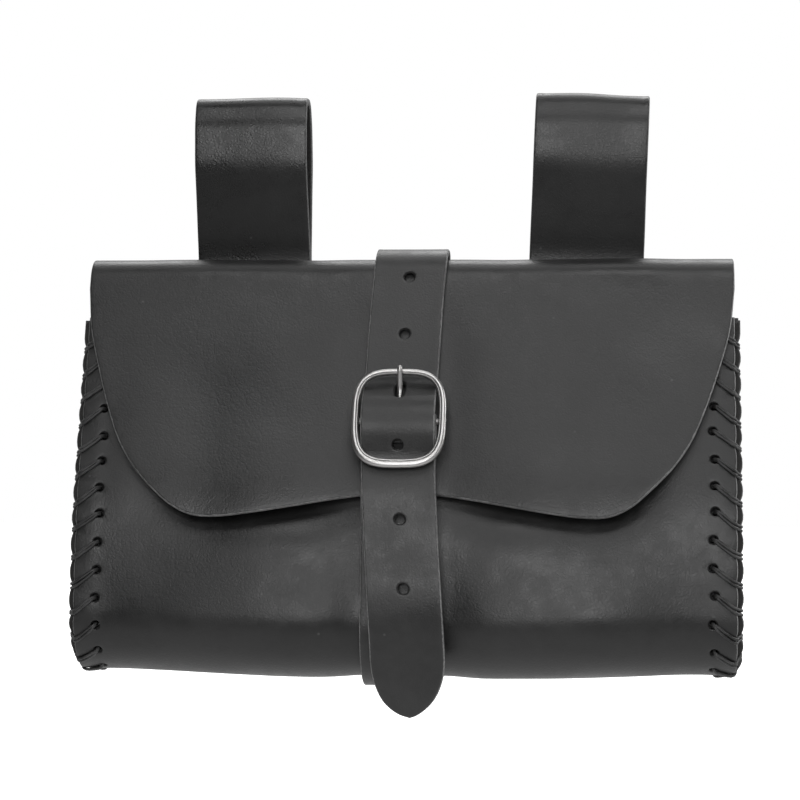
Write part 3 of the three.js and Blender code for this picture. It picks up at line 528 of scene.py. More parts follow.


def thicken(name, middle, triangles, inset, thickness, material, hole_shade=0.0):
    """A skin becomes leather: two faces, with a rounded lip and a raw wall along each cut edge."""
    middle = np.asarray(middle, float)
    normals = point_normals(middle, triangles)
    count = len(middle)
    reach = np.clip(inset, 0, LIP_ROUND)
    half = np.broadcast_to(thickness, count) / 2 - LIP_ROUND
    half = half + np.sqrt(LIP_ROUND**2 - (LIP_ROUND - reach) ** 2)
    outer = middle + normals * half[:, None]
    inner = middle - normals * half[:, None]
    ways = np.vstack([triangles[:, [0, 1]], triangles[:, [1, 2]], triangles[:, [2, 0]]])
    codes = ways[:, 0] * count + ways[:, 1]
    border = ways[~np.isin(codes, ways[:, 1] * count + ways[:, 0])]
    rim = np.unique(border)
    place = np.full(count, -1)
    place[rim] = np.arange(len(rim))
    tangent = np.zeros((len(rim), 3))
    way = middle[border[:, 1]] - middle[border[:, 0]]
    np.add.at(tangent, place[border[:, 0]], way)
    np.add.at(tangent, place[border[:, 1]], way)
    outward = np.cross(tangent, normals[rim])
    outward /= np.maximum(np.linalg.norm(outward, axis=1), 1e-12)[:, None]
    walls = [
        middle[rim] + normals[rim] * (half[rim] * s)[:, None] + outward * WALL_SWELL * (1 - s * s)
        for s in WALL_STEPS
    ]
    points = np.vstack([outer, inner, *walls])
    start = [2 * count + k * len(rim) + place for k in range(len(walls))]
    start = [np.arange(count), *start, count + np.arange(count)]
    faces = triangles.tolist() + (triangles[:, ::-1] + count).tolist()
    for upper, lower in zip(start, start[1:]):
        a, b = border[:, 0], border[:, 1]
        faces += np.stack([upper[b], upper[a], lower[a], lower[b]], 1).tolist()
    # In and beside punched holes the raw grey is darkened: painted shade inside the hole.
    pale = 1 - HOLE_SHADE_SHARE * np.broadcast_to(hole_shade, count)
    raw = np.clip(1 - inset / RAW_REACH, 0, 1) * pale
    near = np.clip(1 - inset / NEAR_REACH, 0, 1)
    wall_flesh = np.repeat((0.3, 0.6, 0.9), len(rim))
    masks = {
        "raw": np.concatenate([raw, raw, np.tile(pale[rim], 3)]),
        "near": np.concatenate([near, near, np.ones(3 * len(rim))]),
        "flesh": np.concatenate([np.zeros(count), np.ones(count), wall_flesh]),
    }
    made = add_mesh(name, points, faces, material, masks)
    made.data.set_sharp_from_angle(angle=math.radians(50))
    return made


def cut_leather(name, outline, holes, columns, rows, place, thickness, material, turned=False):
    """A leather piece from its flat pattern. Turned, its grain lies on the other face."""
    flat, triangles, inset = cut_pattern(outline, holes, columns, rows)
    if turned:
        triangles = triangles[:, ::-1]
    middle = [place(*point) for point in flat]
    if callable(thickness):
        thickness = np.array([thickness(*point) for point in flat])
    # Points within 0.7 mm of a punched hole get the painted shade of the hole.
    hole_shade = (distance_to(flat, holes) < 0.7).astype(float)
    return thicken(name, middle, triangles, inset, thickness, material, hole_shade=hole_shade)


def rows_along(pieces, tight, fine, coarse):
    """Lattice rows along a line, closer together where its arcs are tighter than a radius."""
    rows, start = [], 0.0
    for piece in pieces:
        step = fine if isinstance(piece, Arc) and piece.round < tight else coarse
        count = max(1, int(piece.length / step))
        rows += [start + piece.length * k / count for k in range(count)]
        start += piece.length
    return rows


def group_of(name, inputs, outputs):
    """An empty shader group with named sockets: inputs are (name, default), outputs are names."""
    group = bpy.data.node_groups.new(name, "ShaderNodeTree")
    for socket, default in inputs:
        kind = "NodeSocketVector" if default is None else "NodeSocketFloat"
        made = group.interface.new_socket(socket, in_out="INPUT", socket_type=kind)
        if default is not None:
            made.default_value = default
    for socket in outputs:
        group.interface.new_socket(socket, in_out="OUTPUT", socket_type="NodeSocketFloat")
    entry = group.nodes.new("NodeGroupInput")
    leave = group.nodes.new("NodeGroupOutput")
    return group, entry, leave


def add_node(tree, kind, sockets=None, **settings):
    """A node with its settings, and its inputs set to a value or linked from another socket."""
    node = tree.nodes.new(kind)
    for key, value in settings.items():
        setattr(node, key, value)
    for key, value in (sockets or {}).items():
        if isinstance(value, bpy.types.NodeSocket):
            tree.links.new(value, node.inputs[key])
        else:
            node.inputs[key].default_value = value
    return node


def noise_node(tree, place, scale, detail, roughness=0.5, distortion=0.0):
    values = {"Vector": place, "Scale": scale, "Detail": detail, "Roughness": roughness}
    return add_node(tree, "ShaderNodeTexNoise", {**values, "Distortion": distortion}).outputs["Fac"]


def math_node(tree, operation, *values, clamp=False):
    node = add_node(tree, "ShaderNodeMath", dict(enumerate(values)), operation=operation)
    node.use_clamp = clamp
    return node.outputs[0]


def fit_node(tree, value, low, high, to_low=0.0, to_high=1.0):
    """A value between two bounds, brought smoothly to another range and kept in it."""
    values = {0: value, 1: low, 2: high, 3: to_low, 4: to_high}
    return add_node(
        tree, "ShaderNodeMapRange", values, interpolation_type="SMOOTHSTEP"
    ).outputs[0]


# Leather grain: pores and the fine creases between them, with a softer, broader unevenness.
leather_grain, enter, leave = group_of(
    "leather_grain",
    [("Place", None), ("Pores", 900.0), ("Creases", 260.0)],
    ["Height", "Pore Mask"],
)
place = enter.outputs["Place"]
bent = add_node(
    leather_grain, "ShaderNodeTexNoise", {"Vector": place, "Scale": 700.0, "Detail": 2.0}
)
shifted = add_node(
    leather_grain,
    "ShaderNodeVectorMath",
    {0: bent.outputs["Color"], 1: (0.0009, 0.0009, 0.0009), 2: place},
    operation="MULTIPLY_ADD",
).outputs[0]
cells, creases = (
    add_node(
        leather_grain,
        "ShaderNodeTexVoronoi",
        {"Vector": shifted, "Scale": enter.outputs[scale]},
        feature="DISTANCE_TO_EDGE",
    ).outputs["Distance"]
    for scale in ("Pores", "Creases")
)
pebble = fit_node(leather_grain, cells, 0.0, 0.32)
crease = fit_node(leather_grain, creases, 0.0, 0.12)
broad = noise_node(leather_grain, place, 95.0, 4.0, 0.55)
total = math_node(leather_grain, "MULTIPLY", pebble, 0.4)
total = math_node(leather_grain, "MULTIPLY_ADD", crease, 0.25, total)
total = math_node(leather_grain, "MULTIPLY_ADD", broad, 0.8, total)
leather_grain.links.new(total, leave.inputs["Height"])
leather_grain.links.new(pebble, leave.inputs["Pore Mask"])

# Mottle: the cloudy tone of waxed leather, and the dust-fine pale specks and short scuffs on it.
leather_mottle, enter, leave = group_of(
    "leather_mottle", [("Place", None), ("Speck Amount", 0.5)], ["Cloud", "Rub", "Specks"]
)
place = enter.outputs["Place"]
cloud = noise_node(leather_mottle, place, 24.0, 5.0, 0.6, 0.4)
fine_cloud = noise_node(leather_mottle, place, 170.0, 5.0, 0.65)
both = math_node(leather_mottle, "MULTIPLY_ADD", fine_cloud, 0.55, cloud)
leather_mottle.links.new(fit_node(leather_mottle, both, 0.52, 1.0), leave.inputs["Cloud"])
drawn = add_node(
    leather_mottle,
    "ShaderNodeMapping",
    {"Vector": place, "Rotation": (0.1, 0.5, 0.2), "Scale": (1.0, 1.0, 0.22)},
).outputs[0]
rub = noise_node(leather_mottle, drawn, 210.0, 6.0, 0.7, 0.6)
where = noise_node(leather_mottle, place, 38.0, 2.0)
rub = fit_node(leather_mottle, rub, 0.56, 0.78)
rub = math_node(leather_mottle, "MULTIPLY", rub, fit_node(leather_mottle, where, 0.5, 0.72))
leather_mottle.links.new(rub, leave.inputs["Rub"])
dust = add_node(leather_mottle, "ShaderNodeTexVoronoi", {"Vector": place, "Scale": 420.0})
grit = add_node(
    leather_mottle, "ShaderNodeSeparateColor", {"Color": dust.outputs["Color"]}
).outputs["Red"]
limit = math_node(leather_mottle, "MULTIPLY_ADD", enter.outputs["Speck Amount"], -0.02, 1.0)
chosen = math_node(leather_mottle, "GREATER_THAN", grit, limit)
spot = fit_node(leather_mottle, dust.outputs["Distance"], 0.26, 0.06)
specks = math_node(leather_mottle, "MULTIPLY", chosen, spot)
leather_mottle.links.new(specks, leave.inputs["Specks"])

# Cut edge: the paler raw fibres in the thickness of the leather, frayed out over the lip.
cut_edge, enter, leave = group_of(
    "cut_edge", [("Place", None), ("Raw", 0.0), ("Near", 0.0)], ["Fibres", "Rubbed", "Height"]
)
place = enter.outputs["Place"]
fray = noise_node(cut_edge, place, 520.0, 6.0, 0.7)
patch = noise_node(cut_edge, place, 60.0, 3.0)
frayed = math_node(cut_edge, "ADD", enter.outputs["Raw"], -0.45)
frayed = math_node(cut_edge, "MULTIPLY_ADD", fray, 0.9, frayed)
fibres = fit_node(cut_edge, frayed, 0.18, 0.62)
fibres = math_node(cut_edge, "MULTIPLY", fibres, fit_node(cut_edge, patch, 0.2, 0.62, 0.45, 1.0))
cut_edge.links.new(fibres, leave.inputs["Fibres"])
rubbed = math_node(cut_edge, "ADD", enter.outputs["Near"], -0.4)
rubbed = math_node(cut_edge, "MULTIPLY_ADD", patch, 0.6, rubbed)
cut_edge.links.new(fit_node(cut_edge, rubbed, 0.35, 1.1), leave.inputs["Rubbed"])
strands = add_node(
    cut_edge, "ShaderNodeTexNoise", {"Vector": place, "Scale": 1500.0, "Detail": 4.0}
).outputs["Fac"]
cut_edge.links.new(math_node(cut_edge, "MULTIPLY", strands, fibres), leave.inputs["Height"])


def grey(value, warmth=0.0):
    return (value * (1 + warmth), value, value * (1 - warmth), 1.0)


def mix_colour(tree, share, first, second):
    sockets = {0: share, 6: first, 7: second}
    return add_node(tree, "ShaderNodeMix", sockets, data_type="RGBA").outputs[2]


def blank_finish(name):
    """A new material with its node tree, its shader and the place of each point."""
    material = bpy.data.materials.new(name)
    material.use_nodes = True
    tree = material.node_tree
    place = add_node(tree, "ShaderNodeTexCoord").outputs["Object"]
    return material, tree, tree.nodes["Principled BSDF"], place


def leather_finish(name, dark, light, edge, gloss, pores=900.0):
    """Waxed black leather, from its darkest and lightest grey and its raw edge's grey."""
    material, tree, shader, place = blank_finish(name)
    masks = {
        mask: add_node(tree, "ShaderNodeAttribute", attribute_name=mask).outputs["Fac"]
        for mask in ("raw", "near", "flesh")
    }
    grain = add_node(tree, "ShaderNodeGroup", node_tree=leather_grain)
    mottle = add_node(tree, "ShaderNodeGroup", node_tree=leather_mottle)
    edges = add_node(tree, "ShaderNodeGroup", node_tree=cut_edge)
    for group in (grain, mottle, edges):
        tree.links.new(place, group.inputs["Place"])
    grain.inputs["Pores"].default_value = pores
    mottle.inputs["Speck Amount"].default_value = 0.5
    tree.links.new(masks["raw"], edges.inputs["Raw"])
    tree.links.new(masks["near"], edges.inputs["Near"])
    colour = mix_colour(tree, mottle.outputs["Cloud"], grey(dark), grey(light))
    for mask, share, tone in (
        (mottle.outputs["Rub"], 0.5, light * 1.9),
        (mottle.outputs["Specks"], 0.5, 0.1),
        (edges.outputs["Rubbed"], 0.35, light * 1.8),
    ):
        colour = mix_colour(tree, math_node(tree, "MULTIPLY", mask, share), colour, grey(tone))
    suede = noise_node(tree, place, 900.0, 5.0, 0.7)
    nap = mix_colour(tree, suede, grey(light * 0.9, 0.03), grey(light * 2.4, 0.03))
    colour = mix_colour(tree, masks["flesh"], colour, nap)
    fibre_colour = mix_colour(tree, fit_node(tree, suede, 0.3, 0.7), grey(edge * 0.45), grey(edge))
    colour = mix_colour(tree, edges.outputs["Fibres"], colour, fibre_colour)
    tree.links.new(colour, shader.inputs["Base Color"])
    rough = fit_node(tree, mottle.outputs["Cloud"], 0.0, 1.0, gloss - 0.04, gloss + 0.09)
    rough = math_node(tree, "MULTIPLY_ADD", grain.outputs["Pore Mask"], -0.05, rough)
    dull = math_node(tree, "MAXIMUM", edges.outputs["Fibres"], masks["flesh"])
    rough = math_node(tree, "MULTIPLY_ADD", dull, 0.34, rough, clamp=True)
    tree.links.new(rough, shader.inputs["Roughness"])
    grain_bump = add_node(
        tree,
        "ShaderNodeBump",
        {"Strength": 0.35, "Distance": 0.0001, "Height": grain.outputs["Height"]},
    )
    nap_height = math_node(tree, "MULTIPLY", suede, masks["flesh"])
    nap_height = math_node(tree, "MAXIMUM", nap_height, edges.outputs["Height"])
    nap_bump = add_node(
        tree,
        "ShaderNodeBump",
        {
            "Strength": 0.7,
            "Distance": 0.0004,
            "Height": nap_height,
            "Normal": grain_bump.outputs[0],
        },
    )
    tree.links.new(nap_bump.outputs[0], shader.inputs["Normal"])
    shader.inputs["IOR"].default_value = 1.55
    return material


panel_leather = leather_finish("panel_leather", dark=0.008, light=0.019, edge=0.3, gloss=0.38)


# The pattern's outline: the mouth, up the right side to the flap, round its lobes and down again.
flap_share = [mix(FLAP_SIDE[0, 0], FLAP_SIDE[-1, 0], k / 44) for k in range(45)]


def flap_point(across, down):
    """A point of the flat pattern, from how far down the flap it is as a share of its length."""
    return across, pattern_of_height(TOP_Z - down * FLAP_LENGTH)


sides, bottoms = {}, {}
for side, column in ((-1, 1), (1, 2)):
    sides[side] = [
        flap_point(side * HALF_WIDTH * read_table(FLAP_SIDE, column, down), down)
        for down in flap_share
    ]
    foot = side * HALF_WIDTH * FLAP_SIDE[-1, column]
    bottoms[side] = [
        flap_point(foot * across, read_table(FLAP_BOTTOM, 1, across))
        for across in np.linspace(1, 0, 70)[1:]
    ]
outline = [(-HALF_WIDTH, 0), (HALF_WIDTH, 0), *sides[1], *bottoms[1]]
outline += [*bottoms[-1][-2::-1], *sides[-1][::-1]]
outline = smooth_loop(outline, 1.15)
panel_holes = [
    ring_of((side * (HALF_WIDTH - inset), at), LACE_HOLE, sides=14)
    for side in (-1, 1)
    for at, inset in lace_places[side]
]
columns = np.arange(-HALF_WIDTH + 1.3, HALF_WIDTH, 2.4)
rows = rows_along(seam_panel, 60, 1.3, 2.4)

panel = cut_leather(
    "panel",
    outline,
    panel_holes,
    columns,
    rows,
    panel_place,
    PANEL_LEATHER,
    panel_leather,
    turned=True,
)
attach(panel, "root")
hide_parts("body_panel")


# Gussets: one shaped side of softer black leather, 2 mm thick, closes each end. Its margins are
# turned out under the panel's edges and punched for the lacing, and its wall folds inwards.

GAP = 0.3
GUSSET_LEATHER = 2
GUSSET_REACH = 1.5  # how far the margin stands out past the panel's edge
GUSSET_BEND = 2.5
GUSSET_HOLLOW = 5  # how far the wall sinks in
CREASE_SHARE, CREASE_AT, CREASE_REACH = 0.22, 0.52, 0.07  # its fold, from the mouth down
GUSSET_IN = HALF_PANEL + 1.5 * GAP + GUSSET_LEATHER / 2  # its middle, inside the panel's middle

HOLE_SHARE = 0.66  # its holes are stretched less than the panel's
HOLE_SIDES = 14

gusset_leather = leather_finish("gusset_leather", dark=0.005, light=0.012, edge=0.1, gloss=0.46)

gusset_line = rounded_line(offset_corners(seam_corners, -GUSSET_IN))
seam_starts = np.concatenate([[0], np.cumsum([piece.length for piece in seam_line])])


def on_seam(pieces, travelled):
    """The point of a line beside the seam, at a distance measured along the seam itself."""
    i = np.searchsorted(seam_starts, travelled, side="right") - 1
    i = int(np.clip(i, 0, len(pieces) - 1))
    return pieces[i].at((travelled - seam_starts[i]) / seam_line[i].length)


def coons_wall(front, rear, low, hollow):
    """Fills the rim of a gusset: down the front, up the back and along the bottom."""
    rows, steps = len(front), len(low)
    v, u = np.meshgrid(np.linspace(0, 1, rows), np.linspace(0, 1, steps), indexing="ij")
    u, v = u[..., None], v[..., None]
    top = front[0] + (rear[0] - front[0]) * u
    wall = front[:, None] * (1 - u) + rear[:, None] * u
    wall = wall + top * (1 - v) + low[None] * v
    wall -= top * (1 - v) + (front[-1] + (rear[-1] - front[-1]) * u) * v
    wall[..., :1] -= hollow * np.sin(np.pi * u) * (1 - v * v)
    crease = np.exp(-(((u - CREASE_AT) / CREASE_REACH) ** 2))
    wall[..., :1] -= CREASE_SHARE * hollow * crease * (1 - v) ** 1.5
    return wall


def combine(piece, other, operation):
    """Takes another mesh out of a piece, or joins it on, and leaves the piece one plain mesh."""
    change = piece.modifiers.new("combine", "BOOLEAN")
    change.object, change.operation, change.solver = other, operation, "MANIFOLD"
    shown = piece.evaluated_get(bpy.context.evaluated_depsgraph_get())
    settled = bpy.data.meshes.new_from_object(shown)
    piece.modifiers.clear()
    piece.data = settled
    bpy.data.objects.remove(other)


def cut_holes(leather, name, places, size, depth):
    """Punches round holes through a piece: each place is a point and the direction of its hole."""
    points, faces = [], []
    for point, direction in places:
        turn = Vector(direction).to_track_quat("Z", "Y").to_matrix()
        first, second = len(points), len(points) + HOLE_SIDES
        for end in (-depth, depth):
            for k in range(HOLE_SIDES):
                angle = 2 * math.pi * k / HOLE_SIDES
                spot = Vector((math.cos(angle) * size / 2, math.sin(angle) * size / 2, end))
                points.append(tuple(Vector(point) + turn @ spot))
        for k in range(HOLE_SIDES):
            after = (k + 1) % HOLE_SIDES
            faces.append((first + k, first + after, second + after, second + k))
        faces.append(tuple(range(second - 1, first - 1, -1)))
        faces.append(tuple(range(second, second + HOLE_SIDES)))
    cutter = add_mesh(name, points, faces, leather.data.materials[0], smooth=False)
    combine(leather, cutter, "DIFFERENCE")


def grid_quads(number):
    """Four-sided faces between the rows and columns of a grid of point numbers."""
    corners = [number[:-1, :-1], number[1:, :-1], number[1:, 1:], number[:-1, 1:]]
    return np.stack(corners, -1).reshape(-1, 4)


def gusset(name, side):
    """One end of the pouch: a laced margin, a rounded bend, and a wall that sinks in."""
    stops = (seam_starts[3] + seam_starts[4]) / 2, (seam_starts[5] + seam_starts[6]) / 2
    down, over = 72, 28
    travelled = np.concatenate([
        np.linspace(0, stops[0], down + 1),
        np.linspace(*stops, over + 1)[1:],
        np.linspace(stops[1], seam_length, down + 1)[1:],
    ])
    from_edge = (0, 0.12, 0.3, 0.6, 1.1, 1.9, 3, 4.4, 5.9, 7.4, 9)
    turns = np.linspace(0, math.pi / 2, 8)[1:]
    rings = []
    for s in travelled:
        y, z, ty, tz = on_seam(gusset_line, s)
        tight = pull(side, s, 2.0)
        edge = HALF_WIDTH + GUSSET_REACH + 0.45 - 0.95 * tight
        ring = []
        for reach in from_edge:
            x = mix(edge - reach, SEAM_X, ramp(reach, 2, 9))
            dent = 0.25 * tight * ramp(reach, 7, 0)
            ring.append((side * x, y + tz * dent, z - ty * dent))
        ring.append((side * SEAM_X, y, z))
        for angle in turns:
            inwards = GUSSET_BEND * (1 - math.cos(angle))
            x = SEAM_X - GUSSET_BEND * math.sin(angle)
            ring.append((side * x, y - tz * inwards, z + ty * inwards))
        rings.append(ring)
    rings = np.array(rings)
    count, width = rings.shape[:2]
    rim = rings[:, -1]
    front, rear, low = rim[: down + 1], rim[::-1][: down + 1], rim[down : down + over + 1]
    wall = coons_wall(front, rear, low, side * GUSSET_HOLLOW)
    points = np.vstack([rings.reshape(-1, 3), wall[:-1, 1:-1].reshape(-1, 3)])
    number = np.arange(count * width).reshape(count, width)
    inner = np.zeros((down + 1, over + 1), int)
    inner[:, 0], inner[:, -1] = number[: down + 1, -1], number[::-1, -1][: down + 1]
    inner[-1] = number[down : down + over + 1, -1]
    inner[:-1, 1:-1] = count * width + np.arange(down * (over - 1)).reshape(down, over - 1)
    quads = np.vstack([grid_quads(number), grid_quads(inner)])
    if side < 0:
        quads = quads[:, ::-1]
    triangles = np.vstack([quads[:, [0, 1, 2]], quads[:, [0, 2, 3]]])
    inset = np.full(len(points), 9.0)
    inset[: count * width] = np.tile(np.array([*from_edge, 12, *([12] * len(turns))], float), count)
    ends = np.minimum(travelled, seam_length - travelled)
    inset[: count * width] = np.minimum(inset[: count * width], np.repeat(ends, width))
    inset[count * width :] = np.repeat(np.arange(down) * stops[0] / down, over - 1)
    made = thicken(name, points, triangles, inset, GUSSET_LEATHER, gusset_leather)
    holes = []
    for at, reach in lace_places[side]:
        y, z, ty, tz = on_seam(gusset_line, at)
        holes.append(((side * (HALF_WIDTH - reach), y, z), (0, tz, -ty)))
    cut_holes(made, "hole_punch", holes, HOLE_SHARE * LACE_HOLE, 2.2)
    return made


for side, name in ((-1, "gusset_left"), (1, "gusset_right")):
    piece = gusset(name + "_side", side)
    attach(piece, "root")
    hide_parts(name)


# Lacing: a doubled waxed thread whips each seam. It comes out of a hole, runs slanting down over
# the edges of panel and gusset, and goes back on the inside to the next hole.

THREAD = 0.98  # one strand's diameter
STRAND_APART = 1.0


def smooth_path(points, step):
    """A smooth curve through points, with samples about one step apart."""
    points = np.asarray(points, float)
    padded = np.vstack([2 * points[0] - points[1], points, 2 * points[-1] - points[-2]])
    samples = []
    for before, start, end, after in zip(padded, padded[1:], padded[2:], padded[3:]):
        length = np.linalg.norm(end - start)
        count = max(1, int(round(length / step)))
        for k in range(count):
            t = k / count
            double = 2 * start + (end - before) * t
            double = double + (2 * before - 5 * start + 4 * end - after) * t * t
            samples.append(0.5 * (double + (3 * start - before - 3 * end + after) * t**3))
    samples.append(points[-1])
    return np.array(samples)


def tube(path, radius, sides=8, twist=None):
    """A round tube along a path, with domed ends. Twist is (pitch, depth) of a two-ply thread."""
    path = np.asarray(path, float)
    tangents = np.gradient(path, axis=0)
    tangents /= np.linalg.norm(tangents, axis=1)[:, None]
    steps = np.concatenate([[0], np.cumsum(np.linalg.norm(np.diff(path, axis=0), axis=1))])
    radius = np.broadcast_to(radius, len(path)).copy()
    ends = np.minimum(steps, steps[-1] - steps)
    radius *= np.sqrt(np.clip(1 - (1 - np.clip(ends / radius, 0, 1)) ** 2, 0.02, 1))
    side = np.cross(tangents[0], (0.3, 0.5, 0.81))
    side /= np.linalg.norm(side)
    angles = 2 * math.pi * np.arange(sides) / sides
    points = []
    for centre, tangent, reach, at in zip(path, tangents, radius, steps):
        side = side - tangent * side.dot(tangent)
        side /= np.linalg.norm(side)
        other = np.cross(tangent, side)
        spread = np.full(sides, reach)
        if twist:
            spread = reach * (1 + twist[1] * np.cos(2 * (angles - 2 * math.pi * at / twist[0])))
        around = side * np.cos(angles)[:, None] + other * np.sin(angles)[:, None]
        points.append(centre + around * spread[:, None])
    points = np.vstack(points)
    a = (np.arange(len(path) - 1)[:, None] * sides + np.arange(sides)).ravel()
    b = (np.arange(len(path) - 1)[:, None] * sides + (np.arange(sides) + 1) % sides).ravel()
    faces = np.stack([a, b, b + sides, a + sides], 1).tolist()
    faces.append(list(range(sides - 1, -1, -1)))
    faces.append(list(range(len(points) - sides, len(points))))
    return points, faces


def join_shapes(shapes):
    """Several (points, faces) as one."""
    points, faces, first = [], [], 0
    for shape_points, shape_faces in shapes:
        points.append(shape_points)
        faces += [[first + i for i in face] for face in shape_faces]
        first += len(shape_points)
    return np.vstack(points), faces


def thread_finish(name, dark, light):
    """Waxed linen thread: near black in its twist, with a grey shine of wax on top."""
    material, tree, shader, place = blank_finish(name)
    fibre = noise_node(tree, place, 1400.0, 5.0, 0.7)
    worn = noise_node(tree, place, 160.0, 4.0, 0.6)
    share = fit_node(tree, math_node(tree, "MULTIPLY_ADD", fibre, 0.5, worn), 0.5, 1.0)
    tree.links.new(mix_colour(tree, share, grey(dark), grey(light)), shader.inputs["Base Color"])
    tree.links.new(fit_node(tree, worn, 0.3, 0.7, 0.36, 0.56), shader.inputs["Roughness"])
    bump = add_node(tree, "ShaderNodeBump", {"Strength": 0.6, "Distance": 0.0002, "Height": fibre})
    tree.links.new(bump.outputs[0], shader.inputs["Normal"])
    return material


waxed_thread = thread_finish("waxed_thread", 0.012, 0.07)


def seam_point(side, beyond, out, travelled):
    """A point beside the seam: beyond the panel's edge, out from its middle, along the seam."""
    y, z, ty, tz = on_seam(seam_line, float(np.clip(travelled, 0, seam_length)))
    over = travelled - float(np.clip(travelled, 0, seam_length))
    return side * (HALF_WIDTH + beyond), y + tz * out + ty * over, z - ty * out + tz * over


def strand(side, offset, seed):
    """One of a seam's two threads: each spot is beyond the edge, out from it and along the seam."""
    hand = np.random.default_rng(seed)
    over, under = HALF_PANEL + THREAD / 2, -(GUSSET_IN + GUSSET_LEATHER / 2 + THREAD / 2)
    edge = GUSSET_REACH - 0.5
    path = []
    places = lace_places[side]
    first_at, first_in = places[0]
    path.append((-first_in + 2.5, under, first_at - 5 + offset))
    path.append((-first_in + 0.4, under + 0.2, first_at - 0.6 + offset))
    for (at, reach), (next_at, next_reach) in zip(places, places[1:] + places[-1:]):
        slant = LACE_SLANT + hand.uniform(-0.35, 0.35)
        slack = hand.uniform(0, 0.16)
        in_hole = 0.35 * offset
        path += [
            (-reach, -GUSSET_IN, at + in_hole),
            (-reach, 0.3, at + in_hole),
            (-reach + 0.55, over - 0.12, at + in_hole + 0.3),
            (-reach + 1.7, over + 0.1 + slack, at + offset + 0.24 * slant),
            (-reach * 0.42, over + 0.06 + slack, at + offset + 0.64 * slant),
            (-1.35, over - 0.02, at + offset + 0.9 * slant),
            (-0.22, HALF_PANEL - 0.15, at + offset + 0.99 * slant),
            (0.12, -0.35, at + offset + 1.0 * slant),
            (edge + 0.05, -GUSSET_IN + GUSSET_LEATHER / 2 - 0.1, at + offset + 1.03 * slant),
            (edge + 0.42, -GUSSET_IN, at + offset + 1.05 * slant),
            (edge - 0.1, under + 0.35, at + offset + 1.09 * slant),
        ]
        if next_at > at:
            path += [
                (-1.4, under, mix(at + slant, next_at, 0.3) + offset),
                (-next_reach + 1.6, under, mix(at + slant, next_at, 0.86) + offset),
                (-next_reach + 0.3, under + 0.3, next_at + 0.6 * offset - 0.1),
            ]
        else:
            path += [
                (-1.6, under, at + slant + 0.6 + offset),
                (-4.5, under, at + slant + 1.6 + offset),
            ]
    spots = [seam_point(side, *spot) for spot in path]
    return tube(smooth_path(spots, 0.5), THREAD / 2, 8, twist=(2.6, 0.1))


for side, name in ((-1, "lacing_left"), (1, "lacing_right")):
    strands = [strand(side, offset * STRAND_APART / 2, 40 + side + offset) for offset in (-1, 1)]
    lacing = add_mesh(name, *join_shapes(strands), waxed_thread)
    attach(lacing, "root")


# Belt loops: a strip of the panel's leather, doubled over and sewn by both ends to the back. Each
# stands up round over the pouch, leans a little and is wide enough for a broad belt.

LOOP_LEATHER = 2.4
LOOP_WIDTH = 38
LOOP_TOP = 25.2
LOOP_SPREAD = 17
LOOP_CREST = 11
LOOP_FOOT = 33
LOOP_CUP, LOOP_WAVE = 0.35, 0.5  # how far its edges stand out, and it is uneven, in millimetres
LOOP_TAPER = 0.012
# Name, place as a share of the panel's half width, lean in degrees, drop.
LOOPS = [("belt_loop_left", -0.507, -0.4, 0.6), ("belt_loop_right", 0.547, 2.2, 0)]

# The loops take the panel's leather at about half its greys, with a darker raw edge: painted shade,
# for they stand back in the shade behind the fold.
loop_leather = leather_finish("loop_leather", dark=0.004, light=0.01, edge=0.12, gloss=0.33)

leg = (LOOP_LEATHER + GAP) / 2
waist, top = TOP_Z + 3, LOOP_TOP - LOOP_LEATHER / 2
shoulder = mix(waist, top, 0.52)
half_loop = [
    (leg, TOP_Z - LOOP_FOOT, 0),
    (leg, waist, 26),
    (LOOP_SPREAD / 2 + 0.2, shoulder + 3, 26),
    (LOOP_SPREAD / 2 - 0.6, mix(shoulder, top, 0.68), 16),
    (LOOP_CREST / 2 - 0.9, top, LOOP_CREST / 2 - 1),
]
loop_line = rounded_line([(-y, z, turn) for y, z, turn in half_loop] + half_loop[::-1])
loop_length = line_length(loop_line)


STITCH_PITCH, STITCH_RADIUS = 3.4, 0.42
# A stitch: share of its pitch, and height over the leather's face.
STITCH = ((0.06, -0.5), (0.2, 0.18), (0.5, 0.34), (0.8, 0.18), (0.94, -0.5))


def strip_outline(half, length, step):
    return smooth_loop([(-half, 0), (half, 0), (half, length), (-half, length)], step)


def sew_box(name, half, low, high, out, leather):
    """A box of stitches on one face of a strip, in the strip's own sizes."""
    corners = np.array([(-half, low), (half, low), (half, high), (-half, high)], float)
    side = math.copysign(1, out)
    shapes = []
    for start, end in zip(corners, np.roll(corners, -1, axis=0)):
        count = max(1, int(round(np.linalg.norm(end - start) / STITCH_PITCH)))
        for k in range(count):
            path = [
                leather(*(start + (end - start) * (k + share) / count), out + side * lift)
                for share, lift in STITCH
            ]
            shapes.append(tube(smooth_path(path, 0.4), STITCH_RADIUS, 6))
    return add_mesh(name, *join_shapes(shapes), waxed_thread)


